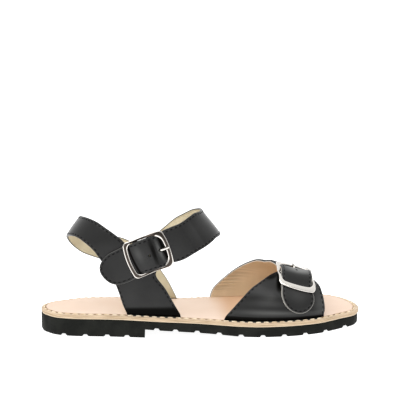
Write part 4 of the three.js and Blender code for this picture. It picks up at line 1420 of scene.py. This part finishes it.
# The straps' cut edges past their buckles are lighter still: a painted highlight on the edge's own tone.
STRAP_LEATHER = black_leather("strap_leather", (0.14, 0.136, 0.13), ankle_strap.buckle * MM + 0.008)
TAB_LEATHER = black_leather("tab_leather", (0.6, 0.58, 0.54), medial_panel.buckle * MM + 0.008)
PALE_LINING = lining("pale_lining", (0.55, 0.49, 0.34), (0.65, 0.59, 0.43), (0.03, 0.025, 0.02), reach=0.0011)
SIDE_LINING = lining("side_lining", (0.55, 0.43, 0.26), (0.64, 0.51, 0.33), (0.42, 0.27, 0.14))
VAMP_LINING = lining("vamp_lining", (0.63, 0.5, 0.33), (0.72, 0.58, 0.4), (0.7, 0.65, 0.58), creased=True)
HOLDS = [
    ([outsole], "outsole", "rubber_sole", rubber()),
    ([welt], "welt", "welt_leather", welt_leather()),
    ([welt_thread], "welt", "welt_leather", None),
    ([insole], "insole", "insole_leather", insole_leather()),
    ([rear_shell, *ankle_chape, *quarter_feet], "rear_upper", "upper_leather", LEATHER_FINISH),
    ([strap_shell], "rear_upper", "upper_leather", STRAP_LEATHER),
    ([quarter_thread, strap_thread], "rear_upper", "upper_leather", None),
    ([rear_lining, strap_lining], "rear_upper", "insole_leather", PALE_LINING),
    ([lateral_shell, *vamp_chape, lateral_foot], "vamp_lateral", "upper_leather", LEATHER_FINISH),
    ([lateral_thread], "vamp_lateral", "upper_leather", None),
    ([lateral_lining], "vamp_lateral", "insole_leather", SIDE_LINING),
    ([medial_shell], "vamp_medial", "upper_leather", TAB_LEATHER),
    ([medial_foot], "vamp_medial", "upper_leather", LEATHER_FINISH),
    ([medial_thread], "vamp_medial", "upper_leather", None),
    ([medial_lining], "vamp_medial", "insole_leather", VAMP_LINING),
]
# Painted reflections on the nickel: the ankle frame a dark middle with light arrises, the vamp frame and bars
# a light one, the prongs light with dark arrises.
SHADED_METAL = nickel("shaded_nickel", (0.055, 0.045, 0.038))
BRIGHT_METAL = nickel("bright_nickel", (0.8, 0.77, 0.72))
PRONG_METAL = nickel("prong_nickel", (0.8, 0.77, 0.72), (0.1, 0.09, 0.08))
for label, metal, tone in (("ankle", ankle_metal, SHADED_METAL), ("vamp", vamp_metal, BRIGHT_METAL)):
    HOLDS.append(([metal[0]], label + "_buckle_frame", "nickel", tone))
    HOLDS.append(([metal[1]], label + "_buckle_frame", "nickel", BRIGHT_METAL))
    HOLDS.append(([metal[2]], label + "_buckle_prong", "nickel", PRONG_METAL))
for pieces, node, slot, material in HOLDS:
    for piece in pieces:
        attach(piece, "root")
        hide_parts(node)
        if material is not None:
            piece.data.materials.clear()
            piece.data.materials.append(material)

# Floor, light and camera.
FLOOR_CORNERS = [(-3000, -3000, 0), (3200, -3000, 0), (3200, 3500, 0), (-3000, 3500, 0)]
FLOOR_GLOW = 0.96
SUN_STRENGTH = 2.2
SUN_SPREAD = 70
SUN_AIM = (0.25, 0.55, -1.0)
CAMERA_TURN = (-4.2, 11.5, -0.41)
CAMERA_DISTANCE = 1.5
CAMERA_TARGET = (98.0, 0, 101.9)
CAMERA_LENS = 169.53
CAMERA_SENSOR = 36
floor = build("floor", FLOOR_CORNERS, [(0, 1, 2, 3)])
floor_finish = Finish("floor_white", (0.5, 0.5, 0.5), 0.9)
floor_finish.set("Emission Color", (1, 1, 1, 1))
floor_finish.set("Emission Strength", FLOOR_GLOW)
floor.data.materials.append(floor_finish.material)


def studio():
    """A soft white room, dimmer on the viewer's side."""
    world = bpy.data.worlds.new("studio")
    world.use_nodes = True
    tree = world.node_tree
    view = add(tree, "ShaderNodeTexCoord")["Generated"]
    depth = add(tree, "ShaderNodeSeparateXYZ", {"Vector": view})["Y"]
    level = ramp_node(tree, depth, -0.9, 0.25, 0.42, 1.0)
    tree.links.new(level, tree.nodes["Background"].inputs["Strength"])
    tree.nodes["Background"].inputs["Color"].default_value = (1, 1, 1, 1)
    return world


bpy.context.scene.world = studio()
bpy.context.scene.view_settings.view_transform = "Standard"
sun = bpy.data.lights.new("soft_sun", "SUN")
sun.energy = SUN_STRENGTH
sun.angle = math.radians(SUN_SPREAD)
lit = link_new("soft_sun", sun)
lit.rotation_euler = Vector(SUN_AIM).to_track_quat("-Z", "Y").to_euler()

azimuth, elevation, roll = (math.radians(a) for a in CAMERA_TURN)
back = Vector(
    (math.sin(azimuth) * math.cos(elevation), -math.cos(azimuth) * math.cos(elevation), math.sin(elevation))
)
right = Vector((math.cos(azimuth), math.sin(azimuth), 0))
up = right.cross(-back)
across = right * math.cos(roll) + up * math.sin(roll)
upward = -right * math.sin(roll) + up * math.cos(roll)
target = Vector(CAMERA_TARGET) * MM
camera_data = bpy.data.cameras.new("camera")
camera_data.lens = CAMERA_LENS
camera_data.sensor_width = CAMERA_SENSOR
camera = link_new("camera", camera_data)
pose = Matrix((across, upward, back)).transposed().to_4x4()
pose.translation = target + back * CAMERA_DISTANCE
camera.matrix_world = pose
bpy.context.scene.camera = camera
